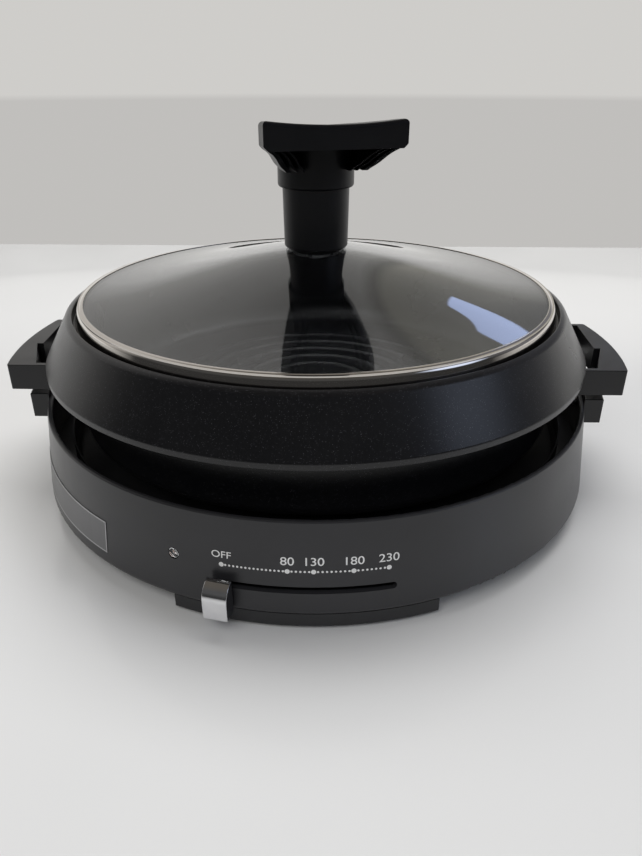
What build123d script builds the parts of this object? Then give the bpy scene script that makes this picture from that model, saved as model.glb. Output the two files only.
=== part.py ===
from build123d import *

import os
from math import cos, degrees, hypot, pi, radians, sin, sqrt, tan

# Electric hot pot: a heated base, a cast pot that lifts out of it and a loose glass lid with a tall
# T-shaped knob. Millimetres, +Z up. The origin is on the table, under the pot's axis. The controls
# face -Y and the mains inlet is at +Y. An azimuth is measured from -Y towards +X, in degrees.

# ---- clearances and common fasteners -------------------------------------------------------------
FIT = 0.1              # between pieces that are assembled once
LOOSE = 0.3            # between pieces that lift apart or slide past each other
SPINDLE_GAP = 0.05     # radial, a shaft turning in its hole
SCREW_R = 1.5          # self-tapping screws: shank, hole, head
SCREW_HOLE_R = SCREW_R + 0.05
SCREW_HEAD_R = 2.9
SCREW_HEAD_H = 2.0
CROSS_WIDTH = 0.9      # cross recess in every screw head
CROSS_DEPTH = 1.0

# ---- pot and lid ring, from the axis outwards ----------------------------------------------------
POT_WALL_R = 132.0
RIM_INNER_R = POT_WALL_R - 0.9
LEDGE_WIDTH = 3.7           # step that carries the lid
LAND_WIDTH = 3.1            # narrow top land of the rim
SKIRT_FLARE = 13.6          # how far the skirt spreads below the land
SKIRT_T = 2.2
POT_DRAFT = 1.6
HEM_GAP = 1.1               # between the lid's hem and the rim
HEM_WIDTH = 1.7
RING_TOP_WIDTH = 3.3
RING_T = 0.6
GLASS_EDGE_GAP = 0.5
LOWER_LIP_WIDTH = 0.8
POT_INNER_TOP_R = RIM_INNER_R - LEDGE_WIDTH
POT_INNER_BOTTOM_R = POT_INNER_TOP_R - POT_DRAFT
LAND_OUTER_R = RIM_INNER_R + LAND_WIDTH
SKIRT_R = LAND_OUTER_R + SKIRT_FLARE
HEM_R = RIM_INNER_R - HEM_GAP
RING_OUTER_R = HEM_R - HEM_WIDTH
RING_INNER_R = RING_OUTER_R - RING_TOP_WIDTH
GLASS_EDGE_R = RING_OUTER_R - RING_T - GLASS_EDGE_GAP
LOWER_LIP_R = RING_INNER_R - LOWER_LIP_WIDTH

# ---- base ----------------------------------------------------------------------------------------
BASE_STANDOFF = 3.3         # the wall's top edge outside the pot's skirt
WALL_FLARE = 4.8            # how much wider the wall is at its foot
WALL_H = 45.1
WALL_FOOT_Z = 9.0           # lower edge of the outer wall above the table
WALL_T = 2.6
WALL_TOP_ROUND = 0.9
WALL_FOOT_ROUND = 2.2
WALL_TOP_R = SKIRT_R + BASE_STANDOFF
WALL_FOOT_R = WALL_TOP_R + WALL_FLARE
WALL_TOP_Z = WALL_FOOT_Z + WALL_H
COVER_T = 2.2
COVER_Z = WALL_FOOT_Z
COVER_TOP_Z = COVER_Z + COVER_T
SLOT_ABOVE_COVER = 8.9
SLOT_H = 3.3
SLOT_HALF_ANGLE = 14.55
SLOT_BOTTOM_Z = COVER_TOP_Z + SLOT_ABOVE_COVER
SLOT_TOP_Z = SLOT_BOTTOM_Z + SLOT_H
SLOT_MID_Z = SLOT_BOTTOM_Z + SLOT_H / 2
SHELF_ABOVE_SLOT = 1.1
SHELF_T = 2.5
SHELF_BOTTOM_Z = SLOT_TOP_Z + SHELF_ABOVE_SLOT
SHELF_Z = SHELF_BOTTOM_Z + SHELF_T      # top of the inner shelf that carries the heat pan
CHIN_ABOVE_TABLE = 2.3      # the cover's front skirt under the controls
CHIN_HALF_ANGLE = 22.3
CHIN_INSET = 1.3
CHIN_WIDTH = 7.6
CHIN_OUTER_R = WALL_FOOT_R - CHIN_INSET
CHIN_INNER_R = CHIN_OUTER_R - CHIN_WIDTH
BOSS_R = 4.5
BOSS_HOLE_DEPTH = 11.0
BOSS_INSET = 17.9           # of the cover screws from the wall's foot
COVER_SCREW_R = WALL_FOOT_R - BOSS_INSET
FOOT_R = 9.0
FOOT_TO_SCREW = 20.0        # between the middles of a foot and of the cover screw outside it
FOOT_PITCH_R = COVER_SCREW_R - FOOT_TO_SCREW
FOOT_ROUND = 1.0
FOOT_STEM_R = 3.0
FOOT_HEAD_R = 4.2
FOOT_HEAD_H = 1.4
VENT_COUNT = 18
VENT_WIDTH = 3.0
VENT_LENGTH = 22.0
VENT_PITCH_R = 70.0
LABEL_START = -36.9
LABEL_END = -70.0
LABEL_ABOVE_FOOT = 7.3
LABEL_H = 16.3
LABEL_T = 0.2

# ---- temperature lever ---------------------------------------------------------------------------
LEVER_OFF_AZIMUTH = -13.3
ARM_T = 1.6
ARM_WIDTH = 12.0
ARM_HUB_R = 9.0
TONGUE_WIDTH = 5.0
TONGUE_INSIDE = 5.2         # length of the narrow tongue inside the wall
TONGUE_GRIP = 3.2           # length of the tongue inside the knob
KNOB_GAP = 1.0              # between the wall and the knob's back
KNOB_WIDTH = 11.0
KNOB_ROUND = 6.6
KNOB_ABOVE_SLOT = 1.5
KNOB_H = 15.3
KNOB_CAP_T = 0.8
KNOB_TOP_Z = SLOT_TOP_Z + KNOB_ABOVE_SLOT
KNOB_BOTTOM_Z = KNOB_TOP_Z - KNOB_H
ARM_Z = SLOT_MID_Z - ARM_T / 2

# ---- heating parts -------------------------------------------------------------------------------
PAN_T = 0.8
PAN_GAP = 8.5               # between the pot's wall and the pan's
PAN_H = 13.0
PAN_BEND_R = 3.0
PAN_HOLE_R = 14.5
PAN_SCREW_INSET = 7.0
PAN_SCREW_LENGTH = 8.0
PAN_SCREW_AZIMUTHS = (30, 150, 210, 330)
PAN_R = POT_WALL_R + PAN_GAP
PAN_SCREW_PITCH_R = PAN_R - PAN_SCREW_INSET
SHELF_INNER_R = PAN_SCREW_PITCH_R - BOSS_R - 1.0
PAN_FLOOR_TOP_Z = SHELF_Z + PAN_T
PAN_TOP_Z = SHELF_Z + PAN_H
SUPPORT_H = 13.2            # brackets that carry the pot
SUPPORT_AZIMUTHS = (45, 135, 225, 315)
SUPPORT_LENGTH = 24.0
SUPPORT_T = 1.6
SUPPORT_FOOT_WIDTH = 9.0
POT_BOTTOM_Z = PAN_FLOOR_TOP_Z + SUPPORT_H
HEATER_R = 88.0
HEATER_TUBE_R = 3.5
HEATER_GAP_ANGLE = 28.0     # between the two ends of the ring
HEATER_BEND_R = 7.0
HEATER_LEG = 8.0            # length of its ends below the shelf
HEATER_DROP = 0.2           # top of the tube below the pot's floor
HEATER_Z = POT_BOTTOM_Z - HEATER_DROP - HEATER_TUBE_R
HEATER_END_Z = SHELF_Z - HEATER_LEG
BUSH_WALL = 1.6
BUSH_FLANGE_WIDTH = 1.8
BUSH_FLANGE_H = 2.0
BUSH_BELOW = 3.5
BUSH_R = HEATER_TUBE_R + FIT + BUSH_WALL
BUSH_FLANGE_R = BUSH_R + BUSH_FLANGE_WIDTH
TAB_T = 0.8
TAB_WIDTH = 6.0
TAB_LENGTH = 9.0
TAB_ON_HEATER = 4.5

# ---- thermostat and pilot lamp -------------------------------------------------------------------
THERMOSTAT_R = PAN_HOLE_R - 1.0
THERMOSTAT_DROP = 3.0       # below the shelf's top
THERMOSTAT_FLANGE_WIDTH = 6.5
THERMOSTAT_FLANGE_T = 1.2
THERMOSTAT_BOTTOM_Z = SHELF_Z - THERMOSTAT_DROP
THERMOSTAT_FLANGE_R = THERMOSTAT_R + THERMOSTAT_FLANGE_WIDTH
THERMOSTAT_FLANGE_Z = PAN_FLOOR_TOP_Z + THERMOSTAT_FLANGE_T
GUIDE_R = 7.0
GUIDE_H = 7.0
RIVET_HEAD_R = 2.4
RIVET_HEAD_H = 0.9
RIVET_PITCH_R = THERMOSTAT_R + 3.5
CUP_R = 12.0
CUP_WALL = 1.2
CUP_H = 7.2
CUP_TOP_Z = POT_BOTTOM_Z - LOOSE
SPRING_R = CUP_R - CUP_WALL - 1.8
SPRING_WIRE_R = 0.6
SPRING_TURNS = 4
SPINDLE_R = 3.0
SPINDLE_SHOULDER = 1.5
SPINDLE_DEPTH = 3.0
SPINDLE_BELOW_NUT = 1.65
NUT_ACROSS_FLATS = 9.0
NUT_H = 2.8
LAMP_AZIMUTH = -21.8
LENS_R = 2.6
LENS_FLANGE_WIDTH = 1.2
LENS_FLANGE_T = 1.0
LENS_ROUND = 0.8
LENS_PROUD = 0.3
LENS_FLANGE_R = LENS_R + LENS_FLANGE_WIDTH
LAMP_Z = SHELF_Z + LENS_FLANGE_R + 0.2
BULB_R = 1.9
BULB_LENGTH = 4.5
HOLDER_WIDTH = 9.0
HOLDER_HEIGHT = 6.5
HOLDER_DEPTH = 4.0
LAMP_LEAD_R = 1.2
LAMP_LEAD_ROUTE = ((-24, 0), (-50, 10), (-76, 8), (-102, 11), (-128, 9), (-152, 16))   # azimuth, inset

# ---- mains inlet and wiring ----------------------------------------------------------------------
INLET_WIDTH = 34.0
INLET_PROUD = 5.7           # the inlet's face outside the wall's foot
INLET_DEPTH = 24.0
INLET_ROUND = 1.5
INLET_H = SHELF_BOTTOM_Z - COVER_TOP_Z - 2 * FIT
INLET_Z = (SHELF_BOTTOM_Z + COVER_TOP_Z) / 2
INLET_FACE_Y = WALL_FOOT_R + INLET_PROUD
INLET_FLANGE_WIDTH = 4.0    # beyond the housing on each side
INLET_FLANGE_T = 2.0
INLET_RIB_T = 3.0
SOCKET_RIM = 3.5            # of the inlet's face around its socket, at the sides
SOCKET_H = 8.8
SOCKET_DEPTH = 7.0
SOCKET_WIDTH = INLET_WIDTH - 2 * SOCKET_RIM
CONTACT_R = 1.6
CONTACT_ROUND = 0.8
CONTACT_X = 4.0
CONTACT_TIP_GAP = 1.0       # tips sunk below the inlet's face
CONTACT_TAIL = 7.0
KEEPER_X = 9.8
KEEPER_WIDTH = 5.0
KEEPER_T = 1.5
KEEPER_MARGIN = 1.0
WIRE_R = 1.3
WIRE_START = 10.0           # straight stretches of the wires at their ends
WIRE_END = 16.0
FUSE_R = 2.2
FUSE_LENGTH = 14.0
FUSE_Y = 62.0

# ---- pot, upwards --------------------------------------------------------------------------------
POT_DEPTH = 58.0            # from its underside to the lid's step
POT_FLOOR_T = 3.6
POT_CORNER_R = 5.0
POT_INNER_CORNER_R = 7.0
RIM_H = 4.8
LAND_DROP = 0.9
LAND_ROUND = 1.2
SKIRT_DEPTH = 24.9
LIP_H = 3.1
SKIRT_ROOT_DEPTH = 6.3
LEDGE_Z = POT_BOTTOM_Z + POT_DEPTH
RIM_Z = LEDGE_Z + RIM_H
SKIRT_Z = RIM_Z - SKIRT_DEPTH
LIP_Z = SKIRT_Z - LIP_H
SKIRT_ROOT_Z = RIM_Z - SKIRT_ROOT_DEPTH
POT_FLOOR_Z = POT_BOTTOM_Z + POT_FLOOR_T
RIDGE_START_R = 32.0
RIDGE_PITCH = 13.5
RIDGE_COUNT = 5
RIDGE_WIDTH = 6.5
RIDGE_H = 1.0
HANDLE_REACH = 38.0         # beyond the pot's wall
HANDLE_BELOW_LIP = 1.6
HANDLE_H = 14.3
HANDLE_HALF = 38.0
HANDLE_END_T = 3.4
HANDLE_ROUND = 1.2
HANDLE_R = POT_WALL_R + HANDLE_REACH
HANDLE_TOP_Z = LIP_Z - HANDLE_BELOW_LIP
HANDLE_BOTTOM_Z = HANDLE_TOP_Z - HANDLE_H
GRIP_HOLE_BAR = 11.5        # width of the bar outside the finger hole, at its front
GRIP_HOLE_BACK_BAR = 9.2
GRIP_HOLE_NOTCH = 8.0       # narrowest width of the bar, at the notch
GRIP_HOLE_CORNER = 19.0
GRIP_HOLE_NOTCH_Y = -5.0
LUG_Y = 22.0
LUG_WIDTH = 10.0
LUG_T = 5.0
LUG_REACH = 13.0
LUG_ROOT = 1.0              # how far the lug runs into the wall
WEB_T = 6.0
WEB_REACH = 14.8
POT_SCREW_OUT = 6.6
POT_SCREW_LENGTH = 8.0
COUNTERBORE_DEPTH = 2.3
LUG_Z = HANDLE_BOTTOM_Z + WEB_T
POT_SCREW_X = POT_WALL_R + POT_SCREW_OUT
BASE_HANDLE_REACH = 9.9     # beyond the wall's top edge
BASE_HANDLE_GAP = 2.9       # under the pot's handles
BASE_HANDLE_H = 14.0
BASE_HANDLE_HALF = 37.0
BASE_HANDLE_SCREW_Y = 24.0
BASE_HANDLE_SCREW_LENGTH = 7.0
BASE_HANDLE_ROUND = 0.6
BASE_HANDLE_R = WALL_TOP_R + BASE_HANDLE_REACH
BASE_HANDLE_TOP_Z = HANDLE_BOTTOM_Z - BASE_HANDLE_GAP
BASE_HANDLE_BOTTOM_Z = BASE_HANDLE_TOP_Z - BASE_HANDLE_H
BASE_HANDLE_SCREW_Z = BASE_HANDLE_TOP_Z - BASE_HANDLE_H / 2

# ---- lid, upwards --------------------------------------------------------------------------------
RING_H = 8.6
RING_TOP_T = 0.8
GLASS_RISE = 24.0           # from the ring to the point that the glass's slopes aim at
GLASS_BELL = 0.45           # share of the rise that is curved like a bell; the rest is a cone
GLASS_T = 4.0
GLASS_HOLE_R = 5.0
GLASS_SECTION_STEPS = 16
RING_LINE_Z = LEDGE_Z + RING_H          # where the glass meets the ring
GLASS_APEX_Z = RING_LINE_Z + GLASS_RISE

# ---- lid knob ------------------------------------------------------------------------------------
KNOB_TURN = 16.8            # the loose lid lies turned in the pot by this much
STEM_BOTTOM_R = 17.05
STEM_DRAFT = 0.55
STEM_H = 31.1
STEM_FOOT_DROP = 1.4        # of the stem's foot below the apex
STEM_CHAMFER = 1.0
STEM_WALL = 2.6
STEM_FLOOR_T = 3.6
STEM_TOP_R = STEM_BOTTOM_R + STEM_DRAFT
STEM_FOOT_Z = GLASS_APEX_Z - STEM_FOOT_DROP
STEM_TOP_Z = STEM_FOOT_Z + STEM_H
SPIGOT_STEP = 2.6
SPIGOT_H = 7.5
SPIGOT_R = STEM_TOP_R - SPIGOT_STEP
SCREW_TUBE_R = 6.0
GASKET_INSET = 4.05
GASKET_T = 2.4
GASKET_R = STEM_BOTTOM_R - GASKET_INSET
STEM_SEAT_Z = STEM_FOOT_Z + GASKET_T
COLLAR_STEP = 2.35
COLLAR_H = 9.7
COLLAR_ROUND = 1.6
COLLAR_R = STEM_TOP_R + COLLAR_STEP
COLLAR_TOP_Z = STEM_TOP_Z + COLLAR_H
BAR_HALF = 34.8
BAR_REACH = 39.5            # of the front face from the axis
BAR_ABOVE_COLLAR = 13.6
BAR_H = 10.9
BAR_SAG = 2.2
BAR_TOP_FALL = 4.0          # degrees by which the top falls towards its back
BAR_END_DEPTH = 11.0
BAR_TOP_DEPTH = 31.5
BAR_LIP = 3.0
WING_IN = 5.5               # the wing's second point from the bar's end, and the third from the collar
WING_DOWN = 4.4
WING_OUT = 4.0
WING_FOOT = 3.0
GRIP_BACK_ABOVE = 4.0
GRIP_WALL = 2.8
GRIP_ROUND = 2.0
GRIP_RIB_T = 1.2
GRIP_RIB_INSETS = (5.2, 8.6)
BAR_FACE_Y = -BAR_REACH
BAR_END_BOTTOM_Z = COLLAR_TOP_Z + BAR_ABOVE_COLLAR
BAR_END_TOP_Z = BAR_END_BOTTOM_Z + BAR_H
BAR_MID_TOP_Z = BAR_END_TOP_Z - BAR_SAG
BAR_MID_BOTTOM_Z = BAR_END_BOTTOM_Z - BAR_SAG
INSERT_R = 3.6
INSERT_LENGTH = 9.0
INSERT_Z = STEM_TOP_Z + SPIGOT_H + FIT
M5_R = 2.45
M5_HOLE_R = M5_R + 0.05
M5_PASS_R = M5_R + 0.35
WASHER_R = 12.0
WASHER_T = 1.0
UNDER_GASKET_R = 11.0
UNDER_GASKET_T = 1.0
M5_HEAD_R = 4.6
M5_HEAD_H = 2.4

MIN = (Align.CENTER, Align.CENTER, Align.MIN)


def wall_r(z):
    """Outer radius of the base wall at height z: it widens towards the table."""
    share = (WALL_TOP_Z - z) / (WALL_TOP_Z - WALL_FOOT_Z)
    return WALL_TOP_R + (WALL_FOOT_R - WALL_TOP_R) * share


def dome_z(r, inset=0.0):
    """Height of the glass at radius r, or of the surface that lies inset below it."""
    share = r / RING_INNER_R
    bell, cone = (1 + cos(pi * share)) / 2, 1 - share
    return RING_LINE_Z + GLASS_RISE * (GLASS_BELL * bell + (1 - GLASS_BELL) * cone) - inset


def dome_line(start, end, inset=0.0):
    """Section line of the glass from one radius to another."""
    step = (end - start) / GLASS_SECTION_STEPS
    points = [(start + step * k, dome_z(start + step * k, inset)) for k in range(GLASS_SECTION_STEPS + 1)]
    nudge = step / GLASS_SECTION_STEPS
    tangents = [(nudge, dome_z(r + nudge) - dome_z(r)) for r in (start, end)]
    return Spline(*points, tangents=tangents)


def turned(*points):
    """Solid turned about the Z axis from (radius, height) points."""
    return revolve(Plane.XZ * make_face(Polyline(*points, close=True)), Axis.Z)


def ring(outer, inner, bottom, top):
    """Flat ring or tube about the Z axis."""
    height = top - bottom
    return Pos(0, 0, bottom) * (Cylinder(outer, height, align=MIN) - Cylinder(inner, height, align=MIN))


def sector(outer, inner, bottom, top, start, end):
    """Part of a ring between two azimuths."""
    face = Plane.XZ * make_face(
        Polyline((inner, bottom), (outer, bottom), (outer, top), (inner, top), close=True)
    )
    return Rot(0, 0, start - 90) * revolve(face, Axis.Z, end - start)


def block(x0, x1, y0, y1, z0, z1):
    """Box between two corners."""
    centre = Pos((x0 + x1) / 2, (y0 + y1) / 2, (z0 + z1) / 2)
    return centre * Box(x1 - x0, y1 - y0, z1 - z0)


def radial(azimuth, z, start, end, radius):
    """Round bar pointing away from the Z axis."""
    place = Rot(0, 0, azimuth) * Pos(0, -start, z) * Rot(90, 0, 0)
    return place * Cylinder(radius, end - start, align=MIN)


def at_azimuths(shape, azimuths):
    """Copies of a shape, modelled towards -Y, at each azimuth."""
    return [Rot(0, 0, azimuth) * shape for azimuth in azimuths]


def screw(length, radius=SCREW_R, head_r=SCREW_HEAD_R, head_h=SCREW_HEAD_H):
    """Pan-head screw pointing up, its head under z = 0, with a cross recess."""
    head = Pos(0, 0, -head_h) * Cylinder(head_r, head_h, align=MIN)
    head = fillet(head.edges().group_by(Axis.Z)[0], head_h * 0.4)
    body = head + Cylinder(radius, length, align=MIN)
    recess = Pos(0, 0, -head_h) * (
        Box(CROSS_WIDTH, head_r, CROSS_DEPTH, align=MIN) + Box(head_r, CROSS_WIDTH, CROSS_DEPTH, align=MIN)
    )
    return body - recess


def pillar(x, y, bottom, top, radius):
    """Upright round bar."""
    return Pos(x, y, bottom) * Cylinder(radius, top - bottom, align=MIN)


def at(azimuth, r):
    """Plan position of a point at an azimuth and radius."""
    return r * sin(radians(azimuth)), -r * cos(radians(azimuth))


# ---- base shells ---------------------------------------------------------------------------------


def base_housing():
    """Outer wall with its inner shelf, screw bosses, lever slot, lamp hole and inlet opening."""
    body = turned(
        (wall_r(WALL_FOOT_Z), WALL_FOOT_Z),
        (WALL_TOP_R, WALL_TOP_Z),
        (WALL_TOP_R - WALL_T, WALL_TOP_Z),
        (wall_r(SHELF_Z) - WALL_T, SHELF_Z),
        (SHELF_INNER_R, SHELF_Z),
        (SHELF_INNER_R, SHELF_BOTTOM_Z),
        (wall_r(SHELF_BOTTOM_Z) - WALL_T, SHELF_BOTTOM_Z),
        (wall_r(WALL_FOOT_Z) - WALL_T, WALL_FOOT_Z),
    )
    top_edges = body.edges().filter_by(GeomType.CIRCLE).group_by(Axis.Z)[-1]
    body = fillet(top_edges, WALL_TOP_ROUND)
    foot_edge = body.edges().filter_by(GeomType.CIRCLE).group_by(Axis.Z)[0].sort_by(SortBy.RADIUS)[-1]
    body = fillet(foot_edge, WALL_FOOT_ROUND)
    for azimuth in SUPPORT_AZIMUTHS:
        x, y = at(azimuth, COVER_SCREW_R)
        body += pillar(x, y, COVER_TOP_Z, SHELF_BOTTOM_Z, BOSS_R)
        body -= pillar(x, y, COVER_TOP_Z, COVER_TOP_Z + BOSS_HOLE_DEPTH, SCREW_HOLE_R)
    for azimuth in PAN_SCREW_AZIMUTHS:
        x, y = at(azimuth, PAN_SCREW_PITCH_R)
        body += pillar(x, y, SHELF_Z - PAN_SCREW_LENGTH - 1, SHELF_BOTTOM_Z, BOSS_R)
        body -= pillar(x, y, SHELF_Z - PAN_SCREW_LENGTH, SHELF_Z, SCREW_HOLE_R)
    slot_half_height = SLOT_H / 2
    end_angle = SLOT_HALF_ANGLE - degrees(slot_half_height / wall_r(SLOT_MID_Z))
    cut_in, cut_out = WALL_TOP_R - 2 * WALL_T, WALL_FOOT_R + WALL_T
    body -= sector(cut_out, cut_in, SLOT_BOTTOM_Z, SLOT_TOP_Z, -end_angle, end_angle)
    for azimuth in (-end_angle, end_angle):
        body -= radial(azimuth, SLOT_MID_Z, cut_in, cut_out, slot_half_height)
    body -= radial(LAMP_AZIMUTH, LAMP_Z, cut_in, cut_out, LENS_R + FIT)
    for azimuth in handle_screw_azimuths():
        body -= radial(azimuth, BASE_HANDLE_SCREW_Z, cut_in, cut_out, SCREW_HOLE_R + FIT)
    body -= block(
        -INLET_WIDTH / 2 - FIT, INLET_WIDTH / 2 + FIT, cut_in - 2 * WALL_T, cut_out,
        INLET_Z - INLET_H / 2 - FIT, INLET_Z + INLET_H / 2 + FIT,
    )
    x, y = at(LAMP_AZIMUTH, lamp_lead_r())
    return body - pillar(x, y, SHELF_BOTTOM_Z, SHELF_Z, LAMP_LEAD_R + LOOSE)


def bottom_cover():
    """Plate that closes the base, with the front skirt under the controls, vents and holes."""
    plate_r = wall_r(COVER_TOP_Z) - WALL_T - LOOSE
    body = pillar(0, 0, COVER_Z, COVER_TOP_Z, plate_r)
    body += sector(plate_r, CHIN_INNER_R, CHIN_ABOVE_TABLE, COVER_Z, -CHIN_HALF_ANGLE, CHIN_HALF_ANGLE)
    body += sector(
        CHIN_OUTER_R, plate_r - WALL_T, CHIN_ABOVE_TABLE, COVER_Z - FIT, -CHIN_HALF_ANGLE, CHIN_HALF_ANGLE
    )
    for azimuth in SUPPORT_AZIMUTHS:
        x, y = at(azimuth, COVER_SCREW_R)
        body -= pillar(x, y, COVER_Z, COVER_TOP_Z, SCREW_HOLE_R + FIT)
        x, y = at(azimuth, FOOT_PITCH_R)
        body -= pillar(x, y, COVER_Z, COVER_TOP_Z, FOOT_STEM_R + FIT)
    rib_back = inlet_flange_y() - INLET_FLANGE_T - FIT
    for side in (-1, 1):
        x = side * (INLET_WIDTH / 2 + INLET_FLANGE_WIDTH / 2)
        body += block(x - INLET_FLANGE_WIDTH / 2, x + INLET_FLANGE_WIDTH / 2, rib_back - INLET_RIB_T, rib_back,
                      COVER_TOP_Z, INLET_Z + INLET_H / 2)
    vent = Pos(0, -VENT_PITCH_R, COVER_Z) * extrude(SlotOverall(VENT_LENGTH, VENT_WIDTH, rotation=90), COVER_T)
    for index in range(VENT_COUNT):
        body -= Rot(0, 0, 360 * index / VENT_COUNT) * vent
    return body


def rubber_feet():
    """Four feet with a stem pushed through the cover and a head that holds it."""
    foot = pillar(0, -FOOT_PITCH_R, 0, COVER_Z, FOOT_R)
    foot = fillet(foot.edges().filter_by(GeomType.CIRCLE).group_by(Axis.Z)[0], FOOT_ROUND)
    foot += pillar(0, -FOOT_PITCH_R, COVER_Z, COVER_TOP_Z + FOOT_HEAD_H, FOOT_STEM_R)
    foot += pillar(0, -FOOT_PITCH_R, COVER_TOP_Z, COVER_TOP_Z + FOOT_HEAD_H, FOOT_HEAD_R)
    return at_azimuths(foot, SUPPORT_AZIMUTHS)


def cover_screws():
    """Screws from below through the cover into the housing's bosses."""
    one = Pos(0, -COVER_SCREW_R, COVER_Z) * screw(COVER_T + BOSS_HOLE_DEPTH - 1)
    return at_azimuths(one, SUPPORT_AZIMUTHS)


def handle_screw_azimuths():
    """Azimuths of the four screws that hold the base's two side handles."""
    swing = degrees(BASE_HANDLE_SCREW_Y / wall_r(BASE_HANDLE_SCREW_Z))
    return (90 - swing, 90 + swing, 270 - swing, 270 + swing)


def base_handle():
    """Side lip of the base at +X: a block with a curved outer face, flat ends and the wall's slope."""
    block_r = BASE_HANDLE_R
    body = pillar(0, 0, BASE_HANDLE_BOTTOM_Z, BASE_HANDLE_TOP_Z, block_r)
    body &= block(0, 2 * block_r, -BASE_HANDLE_HALF, BASE_HANDLE_HALF, 0, 2 * BASE_HANDLE_TOP_Z)
    low, high = BASE_HANDLE_BOTTOM_Z - 1, BASE_HANDLE_TOP_Z + 1
    body -= turned(
        (0, low), (wall_r(low) + FIT, low), (WALL_TOP_R + FIT, WALL_TOP_Z), (WALL_TOP_R + FIT, high), (0, high)
    )
    body = fillet(body.faces().sort_by(Axis.Z)[-1].edges(), BASE_HANDLE_ROUND)
    for azimuth in handle_screw_azimuths()[:2]:
        start = wall_r(BASE_HANDLE_SCREW_Z) - WALL_T
        body -= radial(azimuth, BASE_HANDLE_SCREW_Z, start, start + BASE_HANDLE_SCREW_LENGTH, SCREW_HOLE_R)
    return body


def base_handle_screws():
    """Screws from inside the wall into the side handles."""
    seat = wall_r(BASE_HANDLE_SCREW_Z + SCREW_HEAD_R) - WALL_T - FIT
    lift = Pos(0, -seat, BASE_HANDLE_SCREW_Z) * Rot(90, 0, 0)
    one = lift * screw(BASE_HANDLE_SCREW_LENGTH - FIT)
    return at_azimuths(one, handle_screw_azimuths())


def rating_label():
    """Thin plate stuck on the left front of the wall."""
    low = WALL_FOOT_Z + LABEL_ABOVE_FOOT
    high = low + LABEL_H
    start, end = min(LABEL_START, LABEL_END), max(LABEL_START, LABEL_END)
    gap = FIT / 2
    face = Plane.XZ * make_face(
        Polyline(
            (wall_r(low) + gap, low), (wall_r(low) + gap + LABEL_T, low),
            (wall_r(high) + gap + LABEL_T, high), (wall_r(high) + gap, high), close=True,
        )
    )
    return Rot(0, 0, start - 90) * revolve(face, Axis.Z, end - start)


# ---- temperature lever ---------------------------------------------------------------------------


def knob_back_r():
    """Distance of the knob's flat back from the axis, clear of the wall at its widest."""
    return wall_r(KNOB_BOTTOM_Z) + KNOB_GAP


def knob_section(grow):
    """Side view of the lever's knob as (distance from the axis, height), grown by a skin."""
    round_r = KNOB_ROUND + grow
    mid_z = KNOB_TOP_Z - KNOB_ROUND
    back = knob_back_r()
    front = back + round_r
    arc = ThreePointArc(
        (back, mid_z + round_r),
        (back + round_r * sin(radians(45)), mid_z + round_r * cos(radians(45))),
        (front, mid_z),
    )
    rest = Polyline((front, mid_z), (front, KNOB_BOTTOM_Z), (back, KNOB_BOTTOM_Z), arc @ 0)
    return make_face([arc, rest])


def knob_solid(grow, width):
    """The knob's side view given a width, placed at the lever's azimuth."""
    upright = Plane.XZ * knob_section(grow)
    solid = extrude(upright, width / 2, both=True)
    return Rot(0, 0, LEVER_OFF_AZIMUTH) * Rot(0, 0, -90) * solid


def slider_knob():
    """Black core of the lever's knob, with the socket for the arm's tongue."""
    socket = block(
        -TONGUE_WIDTH / 2 - FIT, TONGUE_WIDTH / 2 + FIT, -knob_back_r() - TONGUE_GRIP - FIT, -knob_back_r(),
        ARM_Z - FIT, ARM_Z + ARM_T + FIT,
    )
    return knob_solid(0, KNOB_WIDTH) - Rot(0, 0, LEVER_OFF_AZIMUTH) * socket


def slider_knob_cap():
    """Bright skin over the knob's top and front."""
    return knob_solid(KNOB_CAP_T, KNOB_WIDTH) - knob_solid(0, 2 * KNOB_WIDTH)


def control_arm():
    """Steel strip from the thermostat's spindle to the slot, with a narrow tongue for the knob."""
    start = wall_r(SLOT_MID_Z) - WALL_T - TONGUE_INSIDE
    end = knob_back_r() + TONGUE_GRIP
    body = pillar(0, 0, ARM_Z, ARM_Z + ARM_T, ARM_HUB_R)
    body += block(-ARM_WIDTH / 2, ARM_WIDTH / 2, -start, 0, ARM_Z, ARM_Z + ARM_T)
    body += block(-TONGUE_WIDTH / 2, TONGUE_WIDTH / 2, -end, -start, ARM_Z, ARM_Z + ARM_T)
    body -= pillar(0, 0, ARM_Z, ARM_Z + ARM_T, SPINDLE_R + FIT / 5)
    return Rot(0, 0, LEVER_OFF_AZIMUTH) * body


def thermostat_spindle():
    """Brass spindle that the arm turns, with a shoulder above the arm."""
    top = THERMOSTAT_BOTTOM_Z + SPINDLE_DEPTH - FIT
    shoulder_top = THERMOSTAT_BOTTOM_Z - LOOSE
    body = pillar(0, 0, ARM_Z - NUT_H - SPINDLE_BELOW_NUT, top, SPINDLE_R)
    return body + pillar(0, 0, ARM_Z + ARM_T, shoulder_top, SPINDLE_R + SPINDLE_SHOULDER)


def arm_nut():
    """Nut that clamps the arm against the spindle's shoulder."""
    body = Pos(0, 0, ARM_Z - NUT_H) * extrude(RegularPolygon(NUT_ACROSS_FLATS / 2, 6, major_radius=False), NUT_H)
    return body - pillar(0, 0, ARM_Z - NUT_H, ARM_Z, SPINDLE_R + FIT / 5)


# ---- heating parts -------------------------------------------------------------------------------


def heater_end_plan():
    """Plan positions of the two upright ends of the heating tube, the one at +X first."""
    half = radians(HEATER_GAP_ANGLE / 2)
    places = []
    for side in (1, -1):
        x = side * (HEATER_R * sin(half) - HEATER_BEND_R * cos(half))
        y = HEATER_R * cos(half) + HEATER_BEND_R * sin(half)
        places.append((x, y))
    return places


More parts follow.
